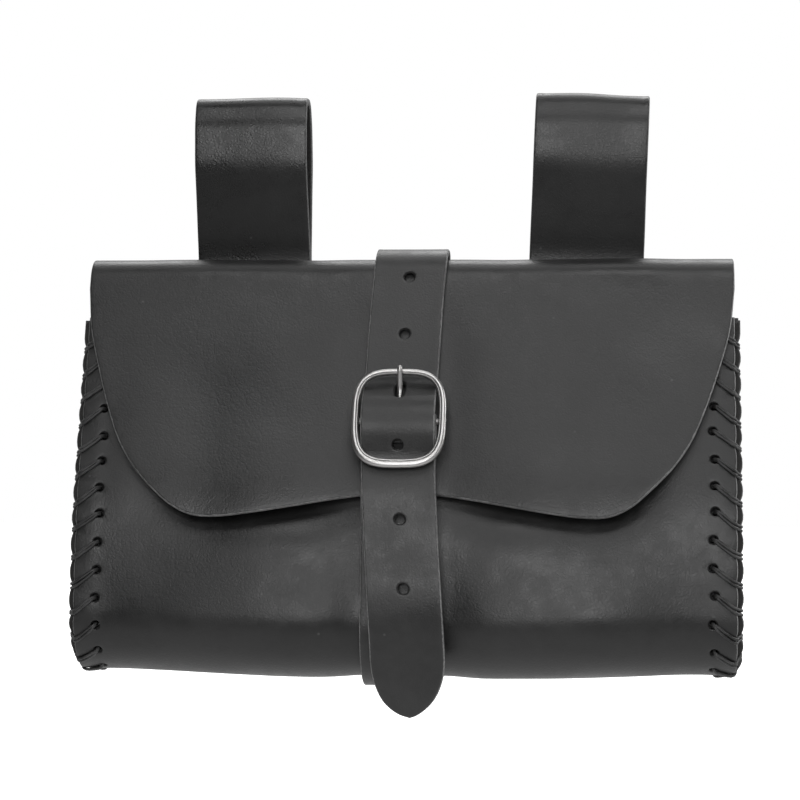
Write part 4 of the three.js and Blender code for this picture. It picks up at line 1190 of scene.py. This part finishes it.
for name, place_share, lean, drop in LOOPS:
    tilt = math.radians(lean)
    foot_x, foot_z = place_share * HALF_WIDTH, TOP_Z - drop

    def loop_place(across, along, out=0.0):
        y, z, ty, tz = along_line(loop_line, along)
        high = ramp(z, waist, shoulder)
        out += LOOP_CUP * high * ((2 * across / LOOP_WIDTH) ** 2 - 0.4)
        waves = noise.noise(Vector((across * 0.05, along * 0.035, place_share * 9)))
        out += LOOP_WAVE * high * waves
        y, z = y + tz * out, z - ty * out - TOP_Z
        x = across * (1 - LOOP_TAPER * high)
        c, s = math.cos(tilt), math.sin(tilt)
        return foot_x + x * c + z * s, y, foot_z - x * s + z * c

    edge = LOOP_WIDTH / 2
    outline = strip_outline(edge, loop_length, 1.1)
    columns = np.arange(-edge + 1.3, edge, 2.0)
    rows = np.arange(1.3, loop_length, 1.5)
    loop = cut_leather(
        name + "_strip", outline, [], columns, rows, loop_place, LOOP_LEATHER, loop_leather
    )
    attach(loop, "root")
    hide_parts(name)
    low, high = loop_length - 4.5, loop_length - LOOP_FOOT + 5
    sewing = sew_box(name + "_sewing", edge - 4, low, high, -LOOP_LEATHER / 2, loop_place)
    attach(sewing, "root")


# Closing strap: a strip 24 mm wide and 2 mm thick with a pointed end and hand-punched holes. It is
# sewn to the back, lies over the fold and down the flap, passes through the buckle and hangs free.

STRAP_LEATHER = 2
STRAP_WIDTH = 23.6
STRAP_ARCH = 1.1
STRAP_FOOT = 40
STRAP_BEND = 50
TIP_DROP = 9.8
TIP_LENGTH = 18
TIP_CURL = 5.5
TIP_Z = BOTTOM_Z - BOTTOM_SAG - TIP_DROP
HOLE_PITCH = 21.4
HOLE_PLACES = (-1.94, -1.01, 0, 0.93, 2.07, 3.1)  # in pitches from the prong's hole
HOLE_DIAMETER = 3.5
PRONG_HOLE_LENGTH = 8.4
BUCKLE_HEIGHT = 34.2
BUCKLE_BELOW_TOP = 54
BUCKLE_ASIDE = -1.3
BAR_DIAMETER = 2
PRONG_DIAMETER = 1.9
PRONG_HOLE_PLACE = -0.58
FREE_LENGTH, FREE_WAVE, EDGE_CURL = 55, 0.3, 0.16
SEW_INSET, SEW_FROM, SEW_TO = 3.4, 4, 26
# How the strap wanders sideways: height as a share of the body's, aside.
STRAP_WANDER = np.array([
    (-0.1, 2.6),
    (0.1, 2.1),
    (0.35, -0.1),
    (0.58, -1.5),
    (0.85, -0.4),
    (1.02, 1),
])
# The tip: across as a share of the width, along as a share of its length.
TIP_OUTLINE = [
    (-0.5, 0),
    (-0.48, 0.25),
    (-0.42, 0.52),
    (-0.33, 0.74),
    (-0.2, 0.9),
    (-0.07, 0.985),
    (0.05, 1),
    (0.2, 0.885),
    (0.33, 0.71),
    (0.42, 0.5),
    (0.48, 0.24),
    (0.5, 0),
]

strap_leather = leather_finish(
    "strap_leather", dark=0.013, light=0.028, edge=0.34, gloss=0.4, pores=1000.0
)

half_strap = STRAP_LEATHER / 2
half_frame = BUCKLE_HEIGHT / 2
strap_offset = HALF_PANEL + GAP + half_strap
middle_body = list(body_corners(0).values())
middle_flap = offset_corners(flap_corners(0), HALF_PANEL)
flap_face = Straight(middle_flap[0][:2], middle_flap[1][:2])
slope = flap_face.tangent
buckle_y, buckle_z = at_height([flap_face], TOP_Z - BUCKLE_BELOW_TOP)[:2]


def on_flap(along, out, rounding=0):
    """A point in the buckle's own frame: along runs down the flap's face, out stands off it."""
    return (
        buckle_y + slope[0] * along + slope[1] * out,
        buckle_z + slope[1] * along - slope[0] * out,
        rounding,
    )


def along_flap(y, z):
    return (y - buckle_y) * slope[0] + (z - buckle_z) * slope[1]


layer = GAP + half_strap
second_layer = layer + STRAP_LEATHER + GAP
bar_out = GAP + PRONG_DIAMETER + GAP + BAR_DIAMETER / 2
strap_over_bar = bar_out + BAR_DIAMETER / 2 + GAP + PRONG_DIAMETER + GAP + half_strap
edge_along = (buckle_z - (TOP_Z - FLAP_BOTTOM[0, 1] * FLAP_LENGTH)) / -slope[1]

over_fold = offset_corners(
    [(middle_body[4][0], TOP_Z - STRAP_FOOT, 0), middle_body[4], *flap_corners(0)[:2]], strap_offset
)[:3]
over_fold = [over_fold[0]] + [(y, z + STRAP_ARCH, turn) for y, z, turn in over_fold[1:]]
front_y = offset_corners(middle_body[:3], HALF_PANEL + second_layer)[2][0]
strap_line = rounded_line([
    *over_fold,
    on_flap(-0.85 * half_frame, layer, 9),
    on_flap(-0.25 * half_frame, strap_over_bar + GAP, 12),
    on_flap(0.21 * half_frame, strap_over_bar + GAP, 12),
    on_flap(0.72 * half_frame, second_layer + GAP, 10),
    on_flap(edge_along, second_layer + GAP, STRAP_BEND),
    (front_y, mix(BOTTOM_Z, TOP_Z, 0.17), STRAP_BEND),
    (front_y + TIP_CURL, TIP_Z, 0),
])
strap_length = line_length(strap_line)


def wander(z):
    """How far aside the strap's middle is at a height."""
    return read_table(STRAP_WANDER, 1, (z - BOTTOM_Z) / BODY_HEIGHT)


def strap_place(across, along, out=0.0):
    y, z, ty, tz = along_line(strap_line, along)
    aside = 2 * across / STRAP_WIDTH
    free = ramp(along, strap_length - FREE_LENGTH, strap_length)
    waves = noise.noise(Vector((across * 0.04, along * 0.05, 4.0)))
    out += FREE_WAVE * free * (waves - 0.3 * aside**2)
    out += EDGE_CURL * aside**4 * ramp(along, STRAP_FOOT, STRAP_FOOT + 20)
    return across + wander(z), y + tz * out, z - ty * out


def strap_distance(aim):
    """How far along the strap a height in the buckle's frame is, seen from the tip."""
    travelled = strap_length
    while along_flap(*along_line(strap_line, travelled)[:2]) > aim:
        travelled -= 0.05
    return travelled


prong_hole = strap_distance(PRONG_HOLE_PLACE * half_frame)
last = strap_line[-1]
steep = last.length / (last.start[1] - last.end[1])
half = STRAP_WIDTH / 2
tip = smooth_path([(across, 1 - along, 0) for across, along in TIP_OUTLINE[::-1]], 0.04)
outline = [(-half, 0), (half, 0)]
outline += [(x * STRAP_WIDTH, strap_length - left * TIP_LENGTH * steep) for x, left, _ in tip]
outline = smooth_loop(outline, 1.0)
holes = []
for place in HOLE_PLACES:
    at = prong_hole + place * HOLE_PITCH
    aside = 0.0 if place else BUCKLE_ASIDE - wander(along_line(strap_line, at)[1])
    hole_length = HOLE_DIAMETER if place else PRONG_HOLE_LENGTH
    holes.append(ring_of((aside, at), HOLE_DIAMETER, hole_length, 24))
columns = np.arange(-half + 1.2, half, 1.3)
rows = np.arange(1.2, strap_length, 1.15)
strap = cut_leather(
    "strap",
    outline,
    holes,
    columns,
    rows,
    strap_place,
    STRAP_LEATHER,
    strap_leather,
    turned=True,
)
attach(strap, "root")
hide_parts("closing_strap")

sewing = sew_box("strap_sewing", half - SEW_INSET, SEW_FROM, SEW_TO, half_strap, strap_place)
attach(sewing, "root")


# Buckle strap: a second strip that carries the buckle. It is sewn to the back, comes round under
# the pouch and up the front, and is pared thin where it folds round the bar, with a slot for the
# prong.

BUCKLE_STRAP_FOOT = 52
FOLD_LEATHER = 1.2
FOLD_END = 7

fold_radius = BAR_DIAMETER / 2 + GAP + FOLD_LEATHER / 2
foot = (middle_body[3][0], BOTTOM_Z + BUCKLE_STRAP_FOOT, 0)
under = offset_corners([*middle_body[:4], foot], strap_offset)
front = under[1:][::-1]
front_line = rounded_line(under[:3])
belly = [at_height(front_line, mix(BOTTOM_Z, TOP_Z, up))[:2] for up in (0.3, 0.34, 0.38)]
lift = bar_out - fold_radius
carrier_line = rounded_line([
    (*front[0][:2], 0),
    front[1],
    front[2],
    *[(y - GAP, z, 12) for y, z in belly],
    on_flap(edge_along + half_strap, layer, 5),
    on_flap(1.1 * FOLD_END, layer, 8),
    on_flap(2.5, lift, 4),
    on_flap(-fold_radius, lift, fold_radius - 0.02),
    on_flap(-fold_radius, bar_out + fold_radius, fold_radius - 0.02),
    on_flap(1.5, bar_out + fold_radius, 5),
    on_flap(FOLD_END, second_layer - 0.3, 0),
])
carrier_length = line_length(carrier_line)


def carrier_place(across, along, out=0.0):
    y, z, ty, tz = along_line(carrier_line, along)
    return BUCKLE_ASIDE + across, y + tz * out, z - ty * out


def carrier_thickness(_, along):
    """The strap is pared thin where it folds round the bar."""
    y, z = along_line(carrier_line, along)[:2]
    pared = 1 - ramp(along_flap(y, z), FOLD_END, 1.6 * FOLD_END)
    return mix(STRAP_LEATHER, FOLD_LEATHER, pared)


# The slot goes through both layers of the fold, so its pattern is one long hole round the bend.
bend_middle = min(
    np.arange(carrier_length - 20, carrier_length, 0.05),
    key=lambda travelled: along_flap(*along_line(carrier_line, travelled)[:2]),
)
outline = strip_outline(half, carrier_length, 1.0)
slot = ring_of((0, bend_middle), HOLE_DIAMETER, 2 * (FOLD_END - GAP), 28)
slot = smooth_loop(slot, 0.8)
columns = np.arange(-half + 1.2, half, 1.4)
rows = rows_along(carrier_line, 3, 0.5, 1.3)
carrier = cut_leather(
    "buckle_carrier",
    outline,
    [slot],
    columns,
    rows,
    carrier_place,
    carrier_thickness,
    strap_leather,
)
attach(carrier, "root")
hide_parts("buckle_strap")

sewing = sew_box("carrier_sewing", half - SEW_INSET, SEW_FROM, SEW_TO, -half_strap, carrier_place)
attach(sewing, "root")


# Buckle: a cast frame in antique silver, a rounded square with its top bar finer than its bottom
# one, and a bar across its middle that the buckle strap is folded round.

BUCKLE_WIDTH = 30.5
BUCKLE_SQUARENESS = 3.3
FRAME_THICKNESS = 2.2
FRAME_WIDTH_TOP = 2
FRAME_WIDTH_BOTTOM = 2.9
FRAME_CLEARANCE = 2.2
PRONG_TIP_DIAMETER = 1.6
PRONG_TAPER = 6  # its last stretch, that thins to the tip
PRONG_REACH = 0.4

antique_metal, enter, leave = group_of(
    "antique_metal", [("Place", None), ("Relief", 0.5)], ["Tarnish", "Polish", "Height"]
)
place = enter.outputs["Place"]
blot = noise_node(antique_metal, place, 260.0, 5.0, 0.65)
grit = noise_node(antique_metal, place, 1300.0, 4.0, 0.7)
low_places = math_node(antique_metal, "ADD", blot, 0.55)
low_places = math_node(
    antique_metal, "MULTIPLY_ADD", enter.outputs["Relief"], -1.5, low_places
)
antique_metal.links.new(fit_node(antique_metal, low_places, 0.12, 0.62), leave.inputs["Tarnish"])
shine = math_node(antique_metal, "MULTIPLY_ADD", grit, 0.35, enter.outputs["Relief"])
antique_metal.links.new(fit_node(antique_metal, shine, 0.6, 1.1), leave.inputs["Polish"])
height = math_node(antique_metal, "MULTIPLY_ADD", blot, 0.5, grit)
antique_metal.links.new(height, leave.inputs["Height"])


def metal_finish(name, bright, tarnish):
    """Antique silver, from the grey of its rubbed crests and that of its tarnished low places."""
    material, tree, shader, place = blank_finish(name)
    metal = add_node(tree, "ShaderNodeGroup", node_tree=antique_metal)
    relief = add_node(tree, "ShaderNodeAttribute", attribute_name="relief").outputs["Fac"]
    tree.links.new(place, metal.inputs["Place"])
    tree.links.new(relief, metal.inputs["Relief"])
    colour = mix_colour(tree, metal.outputs["Tarnish"], grey(bright, 0.015), grey(tarnish, 0.02))
    tree.links.new(colour, shader.inputs["Base Color"])
    rough = fit_node(tree, metal.outputs["Polish"], 0, 1, 0.46, 0.34)
    rough = math_node(tree, "MULTIPLY_ADD", metal.outputs["Tarnish"], 0.22, rough)
    tree.links.new(rough, shader.inputs["Roughness"])
    shader.inputs["Metallic"].default_value = 1.0
    bump = add_node(
        tree,
        "ShaderNodeBump",
        {"Strength": 0.35, "Distance": 0.00012, "Height": metal.outputs["Height"]},
    )
    tree.links.new(bump.outputs[0], shader.inputs["Normal"])
    return material


silver = metal_finish("antique_silver", 0.6, 0.07)

top_bar_out = layer + half_strap + FRAME_CLEARANCE + FRAME_THICKNESS / 2
bottom_bar_out = second_layer + half_strap + FRAME_CLEARANCE + FRAME_THICKNESS / 2
FRAME_STEPS, FRAME_SIDES = 176, 28
GROOVE_DEPTH, GROOVE_AT, GROOVE_REACH = 0.2, -0.2, 0.075


def frame_ring():
    """The frame's ring: flat below, crowned above, with a fine groove just inside its crest."""
    tilt = (bottom_bar_out - top_bar_out) / BUCKLE_HEIGHT
    power = 2 / BUCKLE_SQUARENESS
    centres = []
    for i in range(FRAME_STEPS):
        angle = 2 * math.pi * i / FRAME_STEPS
        low = (1 + math.sin(angle)) / 2
        width = mix(FRAME_WIDTH_TOP, FRAME_WIDTH_BOTTOM, low)
        c, s = math.cos(angle), math.sin(angle)
        x = math.copysign(abs(c) ** power, c) * (BUCKLE_WIDTH - width) / 2
        along = math.copysign(abs(s) ** power, s) * (BUCKLE_HEIGHT - width) / 2
        centres.append((x, along, width))
    centres = np.array(centres)
    path = centres[:, :2]
    closed = np.vstack([path, path[:1]])
    steps = np.concatenate([[0], np.cumsum(np.linalg.norm(np.diff(closed, axis=0), axis=1))])
    even = np.linspace(0, steps[-1], FRAME_STEPS, endpoint=False)
    wrapped = np.vstack([centres, centres[:1]])
    centres = np.stack([np.interp(even, steps, wrapped[:, k]) for k in range(3)], 1)
    way = np.roll(centres[:, :2], -1, axis=0) - np.roll(centres[:, :2], 1, axis=0)
    heading = np.stack([way[:, 1], -way[:, 0]], 1) / np.linalg.norm(way, axis=1)[:, None]
    heading *= np.sign((heading * centres[:, :2]).sum(1))[:, None]
    points, relief = [], []
    for (x, along, width), (hx, ha) in zip(centres, heading):
        out = (top_bar_out + bottom_bar_out) / 2 + tilt * along
        for k in range(FRAME_SIDES):
            turn = 2 * math.pi * (k + 0.5) / FRAME_SIDES
            c, s = math.cos(turn), math.sin(turn)
            aside = math.copysign(abs(c) ** 0.86, c) * width / 2
            lift = math.copysign(abs(s) ** (0.9 if s > 0 else 0.6), s) * FRAME_THICKNESS / 2
            inside_crest = bell(aside / width, GROOVE_AT, GROOVE_REACH) * (s > 0)
            lift -= GROOVE_DEPTH * inside_crest
            y, z, _ = on_flap(along + ha * aside, out + lift)
            points.append((x + hx * aside + BUCKLE_ASIDE, y, z))
            relief.append(0.5 + 0.5 * s - 0.75 * inside_crest)
    faces = []
    total = len(points)
    for i in range(FRAME_STEPS):
        for k in range(FRAME_SIDES):
            a, b = i * FRAME_SIDES + k, i * FRAME_SIDES + (k + 1) % FRAME_SIDES
            faces.append((a, b, (b + FRAME_SIDES) % total, (a + FRAME_SIDES) % total))
    return points, faces, relief


def bar_and_lugs():
    """The middle bar, bent up at both ends into the frame's sides."""
    half_bar = (BUCKLE_WIDTH - FRAME_WIDTH_TOP) / 2
    lug_out = (top_bar_out + bottom_bar_out) / 2
    path = [
        (-half_bar, lug_out),
        (-half_bar, bar_out + 1.2),
        (-half_bar + 1.0, bar_out + 0.12),
        (-half_bar + 3, bar_out),
        (-half_bar * 0.4, bar_out),
        (half_bar * 0.4, bar_out),
    ]
    path += [(-x, out) for x, out in path[3::-1]]
    spots = []
    for x, out in path:
        y, z, _ = on_flap(0, out)
        spots.append((x + BUCKLE_ASIDE, y, z))
    return tube(smooth_path(spots, 0.5), BAR_DIAMETER / 2, 16)


points, faces, relief = frame_ring()
frame_piece = add_mesh("buckle_ring", points, faces, silver, {"relief": relief})
bar_points, bar_faces = bar_and_lugs()
bar_relief = {"relief": np.full(len(bar_points), 0.6)}
bar_piece = add_mesh("buckle_bar", bar_points, bar_faces, silver, bar_relief)
combine(frame_piece, bar_piece, "UNION")
frame_piece.data.set_sharp_from_angle(angle=math.radians(45))
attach(frame_piece, "root")
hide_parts("buckle_frame")


# Prong: a steel wire curled round the bar. It comes up through the strap's hole and rests with its
# blunt tip on the frame's top bar.


def prong_path():
    curl = BAR_DIAMETER / 2 + GAP + PRONG_DIAMETER / 2
    over_frame = top_bar_out + FRAME_THICKNESS / 2 + GAP + PRONG_DIAMETER / 2
    angles = np.linspace(-0.12 * math.pi, 1.42 * math.pi, 40)
    spots = [on_flap(math.sin(a) * curl, bar_out + math.cos(a) * curl)[:2] for a in angles]
    shaft = rounded_line([
        (*spots[-1], 0),
        on_flap(-0.25 * half_frame, bar_out + BAR_DIAMETER / 2, 3),
        on_flap(PRONG_HOLE_PLACE * half_frame, bar_out + BAR_DIAMETER / 2, 8),
        on_flap(-half_frame + FRAME_WIDTH_TOP / 2, over_frame + GAP, 5),
        on_flap(-half_frame - PRONG_REACH, over_frame),
    ])
    reach = line_length(shaft)
    spots += [along_line(shaft, travelled)[:2] for travelled in np.linspace(0, reach, 60)[1:]]
    return np.array([(BUCKLE_ASIDE, y, z) for y, z in spots])


path = prong_path()
lengths = np.concatenate([[0], np.cumsum(np.linalg.norm(np.diff(path, axis=0), axis=1))])
tapered = ramp(lengths, lengths[-1] - PRONG_TAPER, lengths[-1])
taper = mix(PRONG_DIAMETER, PRONG_TIP_DIAMETER, tapered) / 2
points, faces = tube(path, taper, 18)
prong = add_mesh("prong_wire", points, faces, silver, {"relief": np.full(len(points), 0.8)})
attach(prong, "root")
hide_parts("buckle_prong")


# Floor and studio: a pale floor under the pouch, and soft lamps before, over, beside and behind it
# in a tent that is white to the camera. They are not part of the pouch.

FLOOR_Z = -0.245
FLOOR_REACH = 1.6

floor_finish, tree, shader, place = blank_finish("pale_floor")
tone = noise_node(tree, place, 1.5, 3.0)
# The floor is pale and glows evenly to the camera. To all other rays it is dark grey, and near the
# pouch it glows brightly, fading to a faint glow half a metre away: painted light that brightens
# the pouch's bottom from below.
seen = add_node(tree, "ShaderNodeLightPath").outputs["Is Camera Ray"]
pale = mix_colour(tree, tone, grey(0.84), grey(0.88))
tree.links.new(mix_colour(tree, seen, grey(0.25), pale), shader.inputs["Base Color"])
shader.inputs["Roughness"].default_value = 0.8
shader.inputs["Emission Color"].default_value = grey(1.0)
away = add_node(tree, "ShaderNodeVectorMath", {0: place}, operation="LENGTH").outputs["Value"]
glow = fit_node(tree, away, 0.25, 0.5, 0.5, 0.05)
glow = math_node(tree, "MAXIMUM", glow, math_node(tree, "MULTIPLY", seen, 0.8))
tree.links.new(glow, shader.inputs["Emission Strength"])
floor_mesh = bpy.data.meshes.new("floor")
floor_corners = [
    (x * FLOOR_REACH, y * FLOOR_REACH, FLOOR_Z) for x, y in ((-1, -1), (1, -1), (1, 1), (-1, 1))
]
floor_mesh.from_pydata(floor_corners, [], [(0, 1, 2, 3)])
floor_mesh.materials.append(floor_finish)
floor = bpy.data.objects.new("floor", floor_mesh)
bpy.context.scene.collection.objects.link(floor)


# Lamps, all turned to the pouch's middle: name, place, width, height, power.
LAMPS = [
    ("low_front_lamp", (0.0, -1.35, 0.08), 0.45, 0.2, 1.5),
    ("front_lamp", (0.05, -1.3, 0.4), 0.8, 0.35, 3.8),
    ("upper_lamp", (0.1, -0.8, 1.0), 1.0, 0.5, 4.2),
    ("top_lamp", (0.0, -0.02, 1.35), 0.8, 0.5, 1.8),
    ("back_lamp", (0.0, 0.8, 1.1), 1.2, 0.6, 9),
    ("right_lamp", (1.2, -0.75, 0.2), 0.5, 0.5, 1.2),
    ("side_lamp", (1.2, 0.3, 0.4), 0.6, 0.6, 7),
]
middle = Vector((0, -0.03, -0.08))
for name, place, width, height, power in LAMPS:
    lamp = bpy.data.lights.new(name, "AREA")
    lamp.shape = "RECTANGLE"
    lamp.size, lamp.size_y, lamp.energy = width, height, power
    holder = bpy.data.objects.new(name, lamp)
    holder.location = place
    holder.rotation_euler = (Vector(place) - middle).to_track_quat("Z", "Y").to_euler()
    bpy.context.scene.collection.objects.link(holder)

world = bpy.data.worlds.new("tent")
bpy.context.scene.world = world
world.use_nodes = True
tree = world.node_tree
background = tree.nodes["Background"]
towards = add_node(tree, "ShaderNodeTexCoord").outputs["Generated"]
depth = add_node(tree, "ShaderNodeSeparateXYZ", {0: towards}).outputs["Y"]
tent = mix_colour(tree, fit_node(tree, depth, -0.2, 0.7), grey(0.03), grey(0.8))
seen = add_node(tree, "ShaderNodeLightPath").outputs["Is Camera Ray"]
tree.links.new(mix_colour(tree, seen, tent, grey(1.0)), background.inputs["Color"])
background.inputs["Strength"].default_value = 1.0
bpy.context.scene.view_settings.view_transform = "Standard"

# The camera stands where the photograph was taken from: a little to the right and above.
SENSOR_WIDTH = 36
VIEW_WIDTH = 0.2604  # metres that the photograph takes in across the pouch
azimuth, elevation, distance = math.radians(4.8), math.radians(1.5), 0.79
back = Vector(
    (
        math.sin(azimuth) * math.cos(elevation),
        -math.cos(azimuth) * math.cos(elevation),
        math.sin(elevation),
    )
)
camera_data = bpy.data.cameras.new("camera")
camera_data.lens = SENSOR_WIDTH / VIEW_WIDTH * distance
camera_data.sensor_width = SENSOR_WIDTH
camera_data.clip_start = 0.01
camera = bpy.data.objects.new("camera", camera_data)
camera.location = Vector((-0.0021, -0.03, -0.0765)) + back * distance
camera.rotation_euler = back.to_track_quat("Z", "Y").to_euler()
bpy.context.scene.collection.objects.link(camera)
bpy.context.scene.camera = camera
